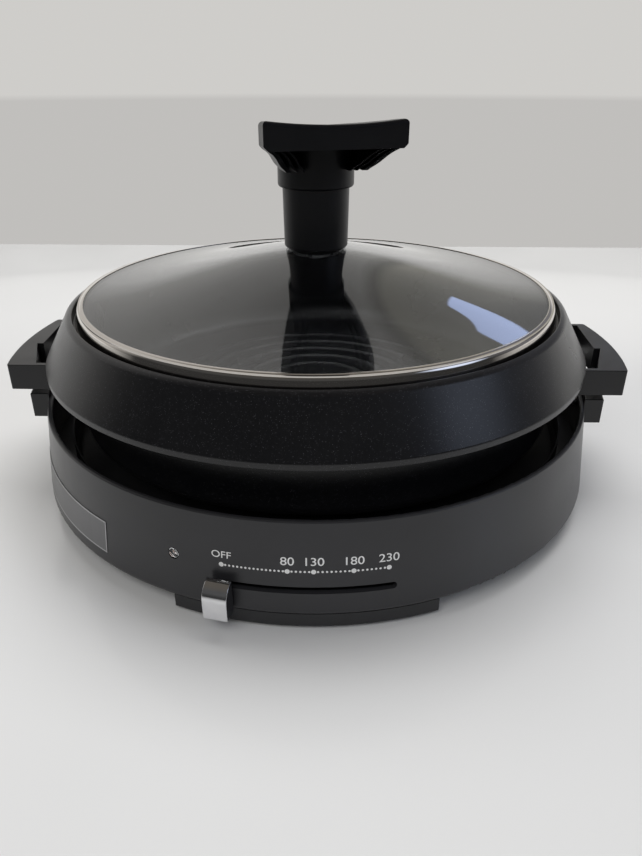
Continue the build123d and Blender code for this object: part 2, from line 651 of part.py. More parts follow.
def heat_pan():
    """Bright sheet pan under the heater that keeps its heat off the housing."""
    top, floor = PAN_FLOOR_TOP_Z, SHELF_Z
    body = turned(
        (PAN_HOLE_R, floor), (PAN_R - PAN_BEND_R, floor), (PAN_R, floor + PAN_BEND_R), (PAN_R, PAN_TOP_Z),
        (PAN_R - PAN_T, PAN_TOP_Z), (PAN_R - PAN_T, top + PAN_BEND_R), (PAN_R - PAN_BEND_R, top), (PAN_HOLE_R, top),
    )
    for azimuth in PAN_SCREW_AZIMUTHS:
        x, y = at(azimuth, PAN_SCREW_PITCH_R)
        body -= pillar(x, y, floor, top, SCREW_HOLE_R + FIT)
    for x, y in heater_end_plan():
        body -= pillar(x, y, floor, top, BUSH_R + FIT)
    for azimuth in (90, 270):
        x, y = at(azimuth, RIVET_PITCH_R)
        body -= pillar(x, y, floor, top, SCREW_HOLE_R)
    return body


def pan_screws():
    """Screws from above through the pan into the housing's shelf."""
    one = Pos(0, -PAN_SCREW_PITCH_R, PAN_FLOOR_TOP_Z) * Rot(180, 0, 0) * screw(PAN_SCREW_LENGTH)
    return at_azimuths(one, PAN_SCREW_AZIMUTHS)


def heater_element():
    """Sheathed heating tube: an open ring whose two ends turn down through the pan."""
    half = HEATER_GAP_ANGLE / 2
    right, left = at(180 - half, HEATER_R), at(180 + half, HEATER_R)
    runs = [ThreePointArc((*right, HEATER_Z), (0, -HEATER_R, HEATER_Z), (*left, HEATER_Z))]
    across, down = HEATER_BEND_R * sin(radians(45)), HEATER_BEND_R * (1 - sin(radians(45)))
    leg_top_z = HEATER_Z - HEATER_BEND_R
    for (x, y), (leg_x, leg_y) in zip((right, left), heater_end_plan()):
        share = across / HEATER_BEND_R
        middle = (x + (leg_x - x) * share, y + (leg_y - y) * share, HEATER_Z - down)
        runs.append(ThreePointArc((x, y, HEATER_Z), middle, (leg_x, leg_y, leg_top_z)))
        runs.append(Line((leg_x, leg_y, leg_top_z), (leg_x, leg_y, HEATER_END_Z)))
    path = Wire([edge for run in runs for edge in run.edges()])
    profile = Plane(origin=path @ 0, z_dir=path % 0) * Circle(HEATER_TUBE_R)
    return sweep(profile, path)


def heater_bushes():
    """Ceramic bushes that hold the heater's ends in the pan."""
    bushes = []
    for x, y in heater_end_plan():
        body = pillar(x, y, SHELF_Z - BUSH_BELOW, PAN_FLOOR_TOP_Z + BUSH_FLANGE_H, BUSH_R)
        body += pillar(x, y, PAN_FLOOR_TOP_Z, PAN_FLOOR_TOP_Z + BUSH_FLANGE_H, BUSH_FLANGE_R)
        bushes.append(body - pillar(x, y, 0, POT_BOTTOM_Z, HEATER_TUBE_R + FIT))
    return bushes


def heater_terminals():
    """Flat tabs on the ends of the heating tube."""
    tabs = []
    for x, y in heater_end_plan():
        tab = block(x - TAB_WIDTH / 2, x + TAB_WIDTH / 2, y - TAB_T / 2, y + TAB_T / 2,
                    HEATER_END_Z - TAB_ON_HEATER, HEATER_END_Z)
        tabs.append(tab)
    return tabs


def heater_supports():
    """Bent sheet brackets that carry the pot and hold the heating tube in a notch."""
    middle = -HEATER_R
    plate = block(
        -SUPPORT_T / 2, SUPPORT_T / 2, middle - SUPPORT_LENGTH / 2, middle + SUPPORT_LENGTH / 2,
        PAN_FLOOR_TOP_Z, POT_BOTTOM_Z,
    )
    plate += block(
        -SUPPORT_T / 2, SUPPORT_FOOT_WIDTH, middle - SUPPORT_LENGTH / 2, middle + SUPPORT_LENGTH / 2,
        PAN_FLOOR_TOP_Z, PAN_FLOOR_TOP_Z + SUPPORT_T,
    )
    notch_r = HEATER_TUBE_R + FIT
    notch = Pos(0, middle, HEATER_Z) * Rot(0, 90, 0) * Cylinder(notch_r, 4 * SUPPORT_T)
    notch += block(-2 * SUPPORT_T, 2 * SUPPORT_T, middle - notch_r, middle + notch_r, HEATER_Z, 2 * HEATER_Z)
    return at_azimuths(plate - notch, SUPPORT_AZIMUTHS)


# ---- thermostat ----------------------------------------------------------------------------------


def thermostat_body():
    """Thermostat hung in the pan's centre, with the guide for its sensing cup."""
    body = pillar(0, 0, THERMOSTAT_BOTTOM_Z, THERMOSTAT_FLANGE_Z, THERMOSTAT_R)
    body += pillar(0, 0, PAN_FLOOR_TOP_Z, THERMOSTAT_FLANGE_Z, THERMOSTAT_FLANGE_R)
    body += pillar(0, 0, THERMOSTAT_FLANGE_Z, THERMOSTAT_FLANGE_Z + GUIDE_H, GUIDE_R)
    body -= pillar(0, 0, THERMOSTAT_BOTTOM_Z, THERMOSTAT_BOTTOM_Z + SPINDLE_DEPTH, SPINDLE_R + SPINDLE_GAP)
    for azimuth in (90, 270):
        x, y = at(azimuth, RIVET_PITCH_R)
        body -= pillar(x, y, PAN_FLOOR_TOP_Z, THERMOSTAT_FLANGE_Z, SCREW_HOLE_R)
    return body


def thermostat_rivets():
    """Two rivets through the thermostat's flange and the pan."""
    rivet = pillar(0, -RIVET_PITCH_R, SHELF_Z - RIVET_HEAD_H, THERMOSTAT_FLANGE_Z + RIVET_HEAD_H, SCREW_R)
    rivet += pillar(0, -RIVET_PITCH_R, SHELF_Z - RIVET_HEAD_H, SHELF_Z, RIVET_HEAD_R)
    rivet += pillar(0, -RIVET_PITCH_R, THERMOSTAT_FLANGE_Z, THERMOSTAT_FLANGE_Z + RIVET_HEAD_H, RIVET_HEAD_R)
    return at_azimuths(rivet, (90, 270))


def thermostat_tab_z():
    """Mid height of the thermostat's terminals, low enough for a wire under the pan."""
    return SHELF_Z - WIRE_R - LOOSE


def thermostat_tab_y():
    """Where the terminals leave the thermostat's round side."""
    return sqrt(THERMOSTAT_R**2 - (THERMOSTAT_R / 2 - TAB_WIDTH / 2) ** 2) + FIT / 2


def thermostat_tabs():
    """The thermostat's two terminals, on its rear side."""
    z = thermostat_tab_z() - TAB_T / 2
    tabs = []
    for side in (-1, 1):
        x, start = side * THERMOSTAT_R / 2, thermostat_tab_y()
        tabs.append(block(x - TAB_WIDTH / 2, x + TAB_WIDTH / 2, start, start + TAB_LENGTH, z, z + TAB_T))
    return tabs


def sensor_spring():
    """Spring that pushes the sensing cup up against the pot."""
    bottom = THERMOSTAT_FLANGE_Z + SPRING_WIRE_R + FIT / 2
    top = CUP_TOP_Z - CUP_WALL - SPRING_WIRE_R - FIT / 2
    path = Pos(0, 0, bottom) * Helix(pitch=(top - bottom) / SPRING_TURNS, height=top - bottom, radius=SPRING_R)
    profile = Plane(origin=path @ 0, z_dir=path % 0) * Circle(SPRING_WIRE_R)
    return sweep(profile, path, is_frenet=True)


def sensor_cup():
    """Aluminium cup that touches the pot's floor and feels its temperature."""
    skirt_z = CUP_TOP_Z - CUP_H
    return pillar(0, 0, skirt_z, CUP_TOP_Z, CUP_R) - pillar(0, 0, skirt_z, CUP_TOP_Z - CUP_WALL, CUP_R - CUP_WALL)


# ---- pilot lamp ----------------------------------------------------------------------------------


def lens_flange_r():
    """Distance of the lens flange's outer face from the axis, just inside the wall."""
    return wall_r(LAMP_Z + LENS_FLANGE_R) - WALL_T - FIT


def pilot_lens():
    """Clear lens pushed through the wall from inside."""
    seat = lens_flange_r()
    tip = wall_r(LAMP_Z) + LENS_PROUD
    stem = pillar(0, 0, 0, tip - seat, LENS_R)
    stem = fillet(stem.edges().filter_by(GeomType.CIRCLE).group_by(Axis.Z)[-1], LENS_ROUND)
    stem += pillar(0, 0, -LENS_FLANGE_T, 0, LENS_FLANGE_R)
    return Rot(0, 0, LAMP_AZIMUTH) * Pos(0, -seat, LAMP_Z) * Rot(90, 0, 0) * stem


def lamp_back_r():
    return lens_flange_r() - LENS_FLANGE_T - FIT


def pilot_lamp():
    """Small lamp behind the lens."""
    return radial(LAMP_AZIMUTH, LAMP_Z, lamp_back_r() - BULB_LENGTH, lamp_back_r(), BULB_R)


def lamp_holder():
    """Clip on the shelf that holds the lamp."""
    front = lamp_back_r()
    clip = block(
        -HOLDER_WIDTH / 2, HOLDER_WIDTH / 2, -front, -front + HOLDER_DEPTH, SHELF_Z, SHELF_Z + HOLDER_HEIGHT
    )
    clip = Rot(0, 0, LAMP_AZIMUTH) * clip
    return clip - radial(LAMP_AZIMUTH, LAMP_Z, front - 2 * BULB_LENGTH, front + FIT, BULB_R + FIT)


# ---- mains inlet and wiring ----------------------------------------------------------------------


def inlet_flange_y():
    """Outer face of the inlet's flange, just inside the curved wall."""
    half_w = INLET_WIDTH / 2 + INLET_FLANGE_WIDTH
    return sqrt((wall_r(SHELF_Z) - WALL_T) ** 2 - half_w**2) - FIT


def inlet_housing():
    """Flat-faced socket at the back of the base for a magnetic plug."""
    half_w, half_h = INLET_WIDTH / 2, INLET_H / 2
    body = block(-half_w, half_w, INLET_FACE_Y - INLET_DEPTH, INLET_FACE_Y, INLET_Z - half_h, INLET_Z + half_h)
    body = fillet(body.edges().filter_by(Axis.Y), INLET_ROUND)
    flange_x, flange_y = half_w + INLET_FLANGE_WIDTH, inlet_flange_y()
    body += block(-flange_x, flange_x, flange_y - INLET_FLANGE_T, flange_y, INLET_Z - half_h, INLET_Z + half_h)
    body -= block(
        -SOCKET_WIDTH / 2, SOCKET_WIDTH / 2, INLET_FACE_Y - SOCKET_DEPTH, INLET_FACE_Y,
        INLET_Z - SOCKET_H / 2, INLET_Z + SOCKET_H / 2,
    )
    for side in (-1, 1):
        hole = Pos(side * CONTACT_X, INLET_FACE_Y, INLET_Z) * Rot(90, 0, 0)
        body -= hole * Cylinder(CONTACT_R + FIT, INLET_DEPTH, align=MIN)
        body -= keeper(side, FIT)
    return body


def keeper(side, gap):
    """Steel plate, or with a gap its pocket, that the plug's magnet pulls on."""
    back = INLET_FACE_Y - SOCKET_DEPTH
    x, half_w, half_h = side * KEEPER_X, KEEPER_WIDTH / 2 + gap, SOCKET_H / 2 - KEEPER_MARGIN + gap
    return block(x - half_w, x + half_w, back - KEEPER_T - gap, back + gap, INLET_Z - half_h, INLET_Z + half_h)


def inlet_keepers():
    return [keeper(side, 0) for side in (-1, 1)]


def inlet_contacts():
    """Two round contacts with tails for the wires."""
    length = INLET_DEPTH - CONTACT_TIP_GAP + CONTACT_TAIL
    pin = Pos(0, INLET_FACE_Y - CONTACT_TIP_GAP, INLET_Z) * Rot(90, 0, 0) * Cylinder(CONTACT_R, length, align=MIN)
    pin = fillet(pin.edges().filter_by(GeomType.CIRCLE).group_by(Axis.Y)[-1], CONTACT_ROUND)
    return [Pos(side * CONTACT_X, 0, 0) * pin for side in (-1, 1)]


def corner_radius(before, corner, after):
    """Radius that rounds a corner of a wire's route as gently as its two runs allow."""
    run_in, run_out = Vector(*corner) - Vector(*before), Vector(*after) - Vector(*corner)
    return 0.45 * min(run_in.length, run_out.length) / tan(radians(run_in.get_angle(run_out)) / 2)


def wire(radius, *points):
    """Round insulated wire along straight runs joined by arcs."""
    bends = [corner_radius(*points[i : i + 3]) for i in range(len(points) - 2)]
    path = FilletPolyline(*points, radius=bends)
    return sweep(Plane(origin=path @ 0, z_dir=path % 0) * Circle(radius), path)


def fuse_place():
    """Middle of the thermal fuse, under the pan."""
    return 0.0, FUSE_Y, SHELF_Z - FUSE_R - FIT


def lead_wires():
    """Wires that join the inlet, fuse, thermostat and heater into one circuit."""
    tail_y = INLET_FACE_Y - INLET_DEPTH - CONTACT_TAIL - CONTACT_TIP_GAP - FIT
    (right_x, leg_y), (left_x, _) = heater_end_plan()
    leg_z = HEATER_END_Z - TAB_ON_HEATER / 2
    leg_gap = TAB_T / 2 + FIT
    tab_x, tab_z = THERMOSTAT_R / 2, thermostat_tab_z()
    tab_y = thermostat_tab_y() + TAB_LENGTH + FIT
    fuse_x, fuse_y, fuse_z = fuse_place()
    fuse_end = FUSE_LENGTH / 2 + FIT
    return [
        wire(WIRE_R, (-CONTACT_X, tail_y, INLET_Z), (-CONTACT_X, tail_y - WIRE_START, INLET_Z),
             (left_x, leg_y + WIRE_END, leg_z), (left_x, leg_y + leg_gap, leg_z)),
        wire(WIRE_R, (CONTACT_X, tail_y, INLET_Z), (CONTACT_X, tail_y - WIRE_START, INLET_Z),
             (fuse_x, fuse_y + fuse_end + WIRE_END, fuse_z), (fuse_x, fuse_y + fuse_end, fuse_z)),
        wire(WIRE_R, (fuse_x, fuse_y - fuse_end, fuse_z), (fuse_x, fuse_y - fuse_end - WIRE_START, fuse_z),
             (-tab_x, tab_y + WIRE_START, tab_z), (-tab_x, tab_y, tab_z)),
        wire(WIRE_R, (tab_x, tab_y, tab_z), (tab_x, tab_y + WIRE_START, tab_z),
             (right_x, leg_y - leg_gap - WIRE_END, leg_z), (right_x, leg_y - leg_gap, leg_z)),
    ]


def lamp_lead_r():
    """Distance from the axis of the lamp's lead where it passes down through the shelf."""
    return lamp_back_r() - BULB_LENGTH - FIT - LAMP_LEAD_R


def lamp_lead():
    """Twin lead of the pilot lamp: down through the shelf, round the left side, to the heater's terminal."""
    (_, leg_y), (left_x, _) = heater_end_plan()
    leg_z = HEATER_END_Z - TAB_ON_HEATER / 2
    low = COVER_TOP_Z + FOOT_HEAD_H + 4 * LAMP_LEAD_R
    start = (*at(LAMP_AZIMUTH, lamp_lead_r()), LAMP_Z)
    down = (*at(LAMP_AZIMUTH, lamp_lead_r()), low + LAMP_LEAD_R)
    route = [(*at(azimuth, FOOT_PITCH_R - inset), low) for azimuth, inset in LAMP_LEAD_ROUTE]
    end_x = left_x - TAB_WIDTH / 2 - FIT
    return wire(LAMP_LEAD_R, start, down, *route, (end_x - WIRE_END, leg_y + FIT, leg_z), (end_x, leg_y, leg_z))


def thermal_fuse():
    """Cut-out fuse in its sleeve under the pan."""
    x, y, z = fuse_place()
    return Pos(x, y, z) * Rot(90, 0, 0) * Cylinder(FUSE_R, FUSE_LENGTH)


# ---- pot -----------------------------------------------------------------------------------------


def pot_body():
    """Cast pot: bowl, lid ledge, wide conical skirt, floor ridges and the lugs for its handles."""
    body = turned(
        (0, POT_BOTTOM_Z),
        (POT_WALL_R, POT_BOTTOM_Z),
        (POT_WALL_R, SKIRT_ROOT_Z),
        (SKIRT_R - SKIRT_T, SKIRT_Z - SKIRT_T / 2),
        (SKIRT_R - SKIRT_T, LIP_Z),
        (SKIRT_R, LIP_Z),
        (SKIRT_R, SKIRT_Z),
        (LAND_OUTER_R, RIM_Z - LAND_DROP),
        (RIM_INNER_R, RIM_Z),
        (RIM_INNER_R, LEDGE_Z),
        (POT_INNER_TOP_R, LEDGE_Z),
        (POT_INNER_BOTTOM_R, POT_FLOOR_Z),
        (0, POT_FLOOR_Z),
    )
    circles = body.edges().filter_by(GeomType.CIRCLE)
    outer_corner = circles.group_by(Axis.Z)[0]
    body = fillet(outer_corner, POT_CORNER_R)
    circles = body.edges().filter_by(GeomType.CIRCLE)
    inner_corner = [e for e in circles if abs(e.center().Z - POT_FLOOR_Z) < FIT and e.radius < POT_WALL_R]
    body = fillet(inner_corner, POT_INNER_CORNER_R)
    circles = body.edges().filter_by(GeomType.CIRCLE)
    land = [e for e in circles if abs(e.center().Z - RIM_Z + LAND_DROP) < FIT]
    body = fillet(land, LAND_ROUND)
    for index in range(RIDGE_COUNT):
        middle = RIDGE_START_R + index * RIDGE_PITCH
        half = RIDGE_WIDTH / 2
        body += turned(
            (middle - half, POT_FLOOR_Z), (middle + half, POT_FLOOR_Z), (middle, POT_FLOOR_Z + RIDGE_H)
        )
    for side in (-1, 1):
        for y in (-LUG_Y, LUG_Y):
            root = sqrt(POT_WALL_R**2 - (abs(y) + LUG_WIDTH / 2) ** 2) - LUG_ROOT
            lug = block(root, POT_WALL_R + LUG_REACH, y - LUG_WIDTH / 2, y + LUG_WIDTH / 2, LUG_Z, LUG_Z + LUG_T)
            lug -= pillar(POT_SCREW_X, y, LUG_Z, LUG_Z + LUG_T, SCREW_HOLE_R)
            body += mirrored(lug, side)
    return body


def mirrored(shape, side):
    """The shape as modelled at +X, or its mirror image at -X."""
    return shape if side > 0 else mirror(shape, Plane.YZ)


def pot_handle(side):
    """Side handle: a curved bar with a finger hole and a web that is screwed to the pot's lugs."""
    body = pillar(0, 0, HANDLE_BOTTOM_Z, HANDLE_TOP_Z, HANDLE_R)
    body -= pillar(0, 0, HANDLE_BOTTOM_Z, HANDLE_TOP_Z, POT_WALL_R + LOOSE)
    body &= block(0, 2 * HANDLE_R, -HANDLE_HALF, HANDLE_HALF, 0, 2 * HANDLE_TOP_Z)
    inner_y = HANDLE_HALF - HANDLE_END_T
    notch_x, front_x = HANDLE_R - GRIP_HOLE_NOTCH, HANDLE_R - GRIP_HOLE_BAR
    hole = Polyline(
        (0, -inner_y), (HANDLE_R - GRIP_HOLE_CORNER, -inner_y), (notch_x, GRIP_HOLE_NOTCH_Y),
        (front_x, GRIP_HOLE_NOTCH_Y), (HANDLE_R - GRIP_HOLE_BACK_BAR, inner_y), (0, inner_y), close=True,
    )
    hole = extrude(make_face(hole), 2 * HANDLE_TOP_Z)
    hole -= pillar(0, 0, 0, LUG_Z, POT_WALL_R + WEB_REACH)
    body -= hole
    corners = body.edges().filter_by(Axis.Z).sort_by(lambda e: -hypot(e.center().X, e.center().Y))[:2]
    body = fillet(corners, HANDLE_ROUND)
    for y in (-LUG_Y, LUG_Y):
        body -= pillar(POT_SCREW_X, y, HANDLE_BOTTOM_Z, LUG_Z, SCREW_HOLE_R + FIT)
        body -= pillar(POT_SCREW_X, y, HANDLE_BOTTOM_Z, HANDLE_BOTTOM_Z + COUNTERBORE_DEPTH, SCREW_HEAD_R + FIT)
    return mirrored(body, side)


def pot_handle_screws():
    """Screws from below through the handles' webs into the pot's lugs."""
    seat = HANDLE_BOTTOM_Z + COUNTERBORE_DEPTH
    screws = []
    for side in (-1, 1):
        for y in (-LUG_Y, LUG_Y):
            screws.append(Pos(side * POT_SCREW_X, y, seat) * screw(POT_SCREW_LENGTH))
    return screws


# ---- lid -----------------------------------------------------------------------------------------


def lid_glass():
    """Domed tempered glass with a hole for the knob's screw."""
    outer = dome_line(GLASS_HOLE_R, GLASS_EDGE_R)
    inner = dome_line(GLASS_EDGE_R, GLASS_HOLE_R, GLASS_T)
    face = make_face([outer, Line(outer @ 1, inner @ 0), inner, Line(inner @ 1, outer @ 0)])
    return revolve(Plane.XZ * face, Axis.Z)


def lid_ring():
    """Rolled stainless ring round the glass, with a skirt and a hem that rests on the pot's ledge."""
    inner_wall = RING_OUTER_R - RING_T
    top = RING_LINE_Z + RING_TOP_T
    under_z = dome_z(GLASS_EDGE_R, GLASS_T) - FIT
    body = turned(
        (RING_INNER_R, RING_LINE_Z + FIT), (RING_INNER_R, top), (inner_wall, top), (RING_OUTER_R, top - RING_T),
        (RING_OUTER_R, LEDGE_Z + RING_T), (HEM_R, LEDGE_Z + RING_T), (HEM_R, LEDGE_Z),
        (inner_wall, LEDGE_Z), (inner_wall, under_z - RING_T), (LOWER_LIP_R, under_z - RING_T),
        (LOWER_LIP_R, under_z), (inner_wall, under_z), (inner_wall, dome_z(GLASS_EDGE_R) + FIT),
    )
    return body


def knob_gasket():
    """Silicone seal between the glass and the knob's stem."""
    under = dome_line(M5_PASS_R, GASKET_R, -FIT / 5)
    outside, inside = (GASKET_R, STEM_SEAT_Z), (M5_PASS_R, STEM_SEAT_Z)
    face = make_face([under, Line(under @ 1, outside), Line(outside, inside), Line(inside, under @ 0)])
    return revolve(Plane.XZ * face, Axis.Z)


def under_gasket():
    """Silicone seal under the glass."""
    top = dome_z(UNDER_GASKET_R, GLASS_T) - FIT / 5
    return ring(UNDER_GASKET_R, M5_PASS_R, top - UNDER_GASKET_T, top)


def under_washer_top_z():
    return dome_z(UNDER_GASKET_R, GLASS_T) - FIT / 5 - UNDER_GASKET_T


def knob_washer():
    """Steel washer that spreads the screw's load."""
    top = under_washer_top_z()
    return ring(WASHER_R, M5_PASS_R, top - WASHER_T, top)


def knob_screw():
    """Long screw from under the lid, through glass and stem, into the grip's insert."""
    seat = under_washer_top_z() - WASHER_T
    length = INSERT_Z + INSERT_LENGTH - 1 - seat
    return Pos(0, 0, seat) * screw(length, M5_R, M5_HEAD_R, M5_HEAD_H)


def knob_stem():
    """Hollow column of the knob, with a tube for the screw and a spigot for the grip."""
    spigot_top = STEM_TOP_Z + SPIGOT_H
    bottom = STEM_FOOT_Z
    body = turned(
        (0, bottom), (STEM_BOTTOM_R - STEM_CHAMFER, bottom), (STEM_BOTTOM_R, bottom + STEM_CHAMFER),
        (STEM_TOP_R, STEM_TOP_Z), (SPIGOT_R, STEM_TOP_Z), (SPIGOT_R, spigot_top), (0, spigot_top),
    )
    body -= pillar(0, 0, bottom, STEM_SEAT_Z, GASKET_R + FIT)
    body -= ring(SPIGOT_R - STEM_WALL, SCREW_TUBE_R, STEM_SEAT_Z + STEM_FLOOR_T, spigot_top)
    return body - pillar(0, 0, bottom, spigot_top, M5_PASS_R)


def grip_front_view(inset):
    """Front view of the grip: bar on top, wings that sweep in to the collar."""
    half = BAR_HALF - inset
    over = BAR_END_TOP_Z + BAR_LIP
    top = Line((-half, over), (half, over))
    collar = COLLAR_R - inset
    wing = (
        (half, BAR_END_BOTTOM_Z),
        (half - WING_IN, BAR_END_BOTTOM_Z - WING_DOWN),
        (collar + WING_OUT, COLLAR_TOP_Z + WING_FOOT),
        (collar, COLLAR_TOP_Z - WING_FOOT),
    )
    right = Spline(*wing, tangents=((-0.6, -1), (0, -1)))
    left = Spline(*((-x, z) for x, z in wing), tangents=((0.6, -1), (0, -1)))
    edges = [
        top, Line(top @ 1, wing[0]), right, Line(wing[-1], (collar, STEM_TOP_Z)),
        Line((collar, STEM_TOP_Z), (-collar, STEM_TOP_Z)), Line((-collar, STEM_TOP_Z), (-wing[-1][0], wing[-1][1])),
        left, Line((-half, BAR_END_BOTTOM_Z), top @ 0),
    ]
    return make_face(edges)


def grip_side_view():
    """Side view of the grip as (y, z): upright face in front, sloping back over the collar."""
    over = BAR_END_TOP_Z + BAR_LIP
    return make_face(
        Polyline(
            (BAR_FACE_Y, over), (BAR_FACE_Y, BAR_MID_BOTTOM_Z), (BAR_FACE_Y + BAR_LIP, BAR_MID_BOTTOM_Z),
            (-COLLAR_R - COLLAR_STEP, COLLAR_TOP_Z), (-COLLAR_R, COLLAR_TOP_Z - WING_FOOT), (-COLLAR_R, STEM_TOP_Z),
            (COLLAR_R, STEM_TOP_Z), (COLLAR_R, COLLAR_TOP_Z + GRIP_BACK_ABOVE),
            (BAR_FACE_Y + BAR_TOP_DEPTH, over), close=True,
        )
    )


def grip_plan(inset):
    """Plan of the grip: the wide bar in front narrowing to the round collar."""
    half, collar = BAR_HALF - inset, COLLAR_R - inset
    front = BAR_FACE_Y + inset
    back_of_end = BAR_FACE_Y + BAR_END_DEPTH
    outline = Polyline(
        (-half, front), (half, front), (half, back_of_end), (collar, -COLLAR_R / 4), (collar, 0), (-collar, 0),
        (-collar, -COLLAR_R / 4), (-half, back_of_end), close=True,
    )
    return make_face(outline) + Circle(collar)


def under_grip_top(inset):
    """All that lies under the bar's top, which sags between its ends and falls towards its back."""
    end, middle = BAR_END_TOP_Z - inset, BAR_MID_TOP_Z - inset
    top = ThreePointArc((-BAR_HALF, end), (0, middle), (BAR_HALF, end))
    right, left = (BAR_HALF, 0), (-BAR_HALF, 0)
    face = make_face([top, Line(top @ 1, right), Line(right, left), Line(left, top @ 0)])
    block = extrude(Plane.XZ * face, 2 * BAR_END_TOP_Z, both=True)
    edge = Pos(0, BAR_FACE_Y, BAR_END_TOP_Z)
    return edge * Rot(-BAR_TOP_FALL, 0, 0) * Pos(0, -BAR_FACE_Y, -BAR_END_TOP_Z) * block


def grip_block(inset):
    """The grip's front view at an inset, carried through from front to back under its top."""
    through = extrude(Plane.XZ * grip_front_view(inset), BAR_REACH + COLLAR_R, both=True)
    return through & under_grip_top(inset)


def knob_grip():
    """T-shaped grip: a hollow hood with a flat front face, wings with ribs along them, and a collar."""
    tall = 2 * BAR_END_TOP_Z
    hood = grip_block(0) & extrude(Plane.YZ * grip_side_view(), tall, both=True) & extrude(grip_plan(0), tall)
    hood = fillet(hood.faces().sort_by(Axis.Z)[-1].edges(), GRIP_ROUND)
    hollow = grip_block(GRIP_WALL) & extrude(grip_plan(GRIP_WALL), tall)
    hollow -= pillar(0, 0, 0, tall, COLLAR_R)
    for inset in GRIP_RIB_INSETS:
        hollow -= grip_block(inset) - grip_block(inset + GRIP_RIB_T)
    collar = pillar(0, 0, STEM_TOP_Z, COLLAR_TOP_Z + COLLAR_STEP, COLLAR_R)
    collar = fillet(collar.edges().filter_by(GeomType.CIRCLE).group_by(Axis.Z)[0], COLLAR_ROUND)
    body = (hood - hollow) & (pillar(0, 0, COLLAR_TOP_Z, tall, BAR_REACH + BAR_HALF) + collar)
    body += collar
    body -= pillar(0, 0, STEM_TOP_Z, INSERT_Z, SPIGOT_R + FIT)
    return body - pillar(0, 0, INSERT_Z, INSERT_Z + INSERT_LENGTH, INSERT_R + FIT / 5)


def knob_insert():
    """Threaded brass insert moulded into the grip."""
    return ring(INSERT_R, M5_HOLE_R, INSERT_Z, INSERT_Z + INSERT_LENGTH)


def turned_lid(shape):
    """A lid piece turned with the loose lid."""
    return Rot(0, 0, KNOB_TURN) * shape


NODES = {
    "base_housing": base_housing(),
    "bottom_cover": bottom_cover(),
    "rubber_feet": rubber_feet(),
    "cover_screws": cover_screws(),
    "base_handle_right": base_handle(),
    "base_handle_left": mirror(base_handle(), Plane.YZ),
    "base_handle_screws": base_handle_screws(),
    "rating_label": rating_label(),
    "slider_knob": slider_knob(),
    "slider_knob_cap": slider_knob_cap(),
    "control_arm": control_arm(),
    "thermostat_spindle": thermostat_spindle(),
    "arm_nut": arm_nut(),
    "heat_pan": heat_pan(),
    "pan_screws": pan_screws(),
    "heater_element": heater_element(),
    "heater_bushes": heater_bushes(),
    "heater_terminals": heater_terminals(),
    "heater_supports": heater_supports(),
    "thermostat_body": thermostat_body(),
    "thermostat_rivets": thermostat_rivets(),
    "thermostat_tabs": thermostat_tabs(),
    "sensor_spring": sensor_spring(),
    "sensor_cup": sensor_cup(),
    "pilot_lens": pilot_lens(),
    "pilot_lamp": pilot_lamp(),
    "lamp_holder": lamp_holder(),
    "inlet_housing": inlet_housing(),
    "inlet_contacts": inlet_contacts(),
    "inlet_keepers": inlet_keepers(),
    "lead_wires": lead_wires(),
    "lamp_lead": lamp_lead(),
    "thermal_fuse": thermal_fuse(),
    "pot_body": pot_body(),
    "pot_handle_left": pot_handle(-1),
    "pot_handle_right": pot_handle(1),
    "pot_handle_screws": pot_handle_screws(),
    "lid_glass": lid_glass(),
    "lid_ring": lid_ring(),
    "knob_gasket": knob_gasket(),
    "under_gasket": under_gasket(),
    "knob_washer": knob_washer(),
    "knob_screw": turned_lid(knob_screw()),
    "knob_stem": knob_stem(),
    "knob_grip": turned_lid(knob_grip()),
    "knob_insert": knob_insert(),
}

os.makedirs("parts", exist_ok=True)
for name, shape in NODES.items():
    solids = [solid for piece in (shape if isinstance(shape, list) else [shape]) for solid in piece.solids()]
    export_step(Compound(children=solids), f"parts/{name}.step")
    print(name, len(solids), "solids")
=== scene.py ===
"""Electric hot pot with a loose glass lid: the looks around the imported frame."""
import math

import bmesh
import bpy
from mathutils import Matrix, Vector


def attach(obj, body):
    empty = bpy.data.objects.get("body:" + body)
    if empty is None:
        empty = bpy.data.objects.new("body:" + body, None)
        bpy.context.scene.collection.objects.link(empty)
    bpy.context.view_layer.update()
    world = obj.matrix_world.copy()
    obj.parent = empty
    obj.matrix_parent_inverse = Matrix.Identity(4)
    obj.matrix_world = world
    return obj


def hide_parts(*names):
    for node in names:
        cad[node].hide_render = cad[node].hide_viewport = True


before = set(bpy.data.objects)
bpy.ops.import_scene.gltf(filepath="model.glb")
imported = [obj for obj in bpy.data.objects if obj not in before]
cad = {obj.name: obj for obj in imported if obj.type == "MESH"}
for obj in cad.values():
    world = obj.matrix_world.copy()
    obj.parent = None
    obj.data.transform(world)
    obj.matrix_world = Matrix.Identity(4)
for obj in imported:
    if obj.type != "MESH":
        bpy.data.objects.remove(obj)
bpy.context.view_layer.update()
MM = 0.001


# Base housing: one moulding of black polycarbonate with a fine satin grain.
# Its wall leans in a little towards the top, so that it draws from the mould.
# The cover is screwed to it from below, and the heat pan lies on its inner shelf.

def new_group(name, inputs, outputs):
    """An empty shader group with typed inputs and value outputs; gives the group and its two ends."""
    group = bpy.data.node_groups.new(name, "ShaderNodeTree")
    for label, kind in inputs:
        group.interface.new_socket(label, in_out="INPUT", socket_type=kind)
    for label in outputs:
        group.interface.new_socket(label, in_out="OUTPUT", socket_type="NodeSocketFloat")
    return group, group.nodes.new("NodeGroupInput"), group.nodes.new("NodeGroupOutput")


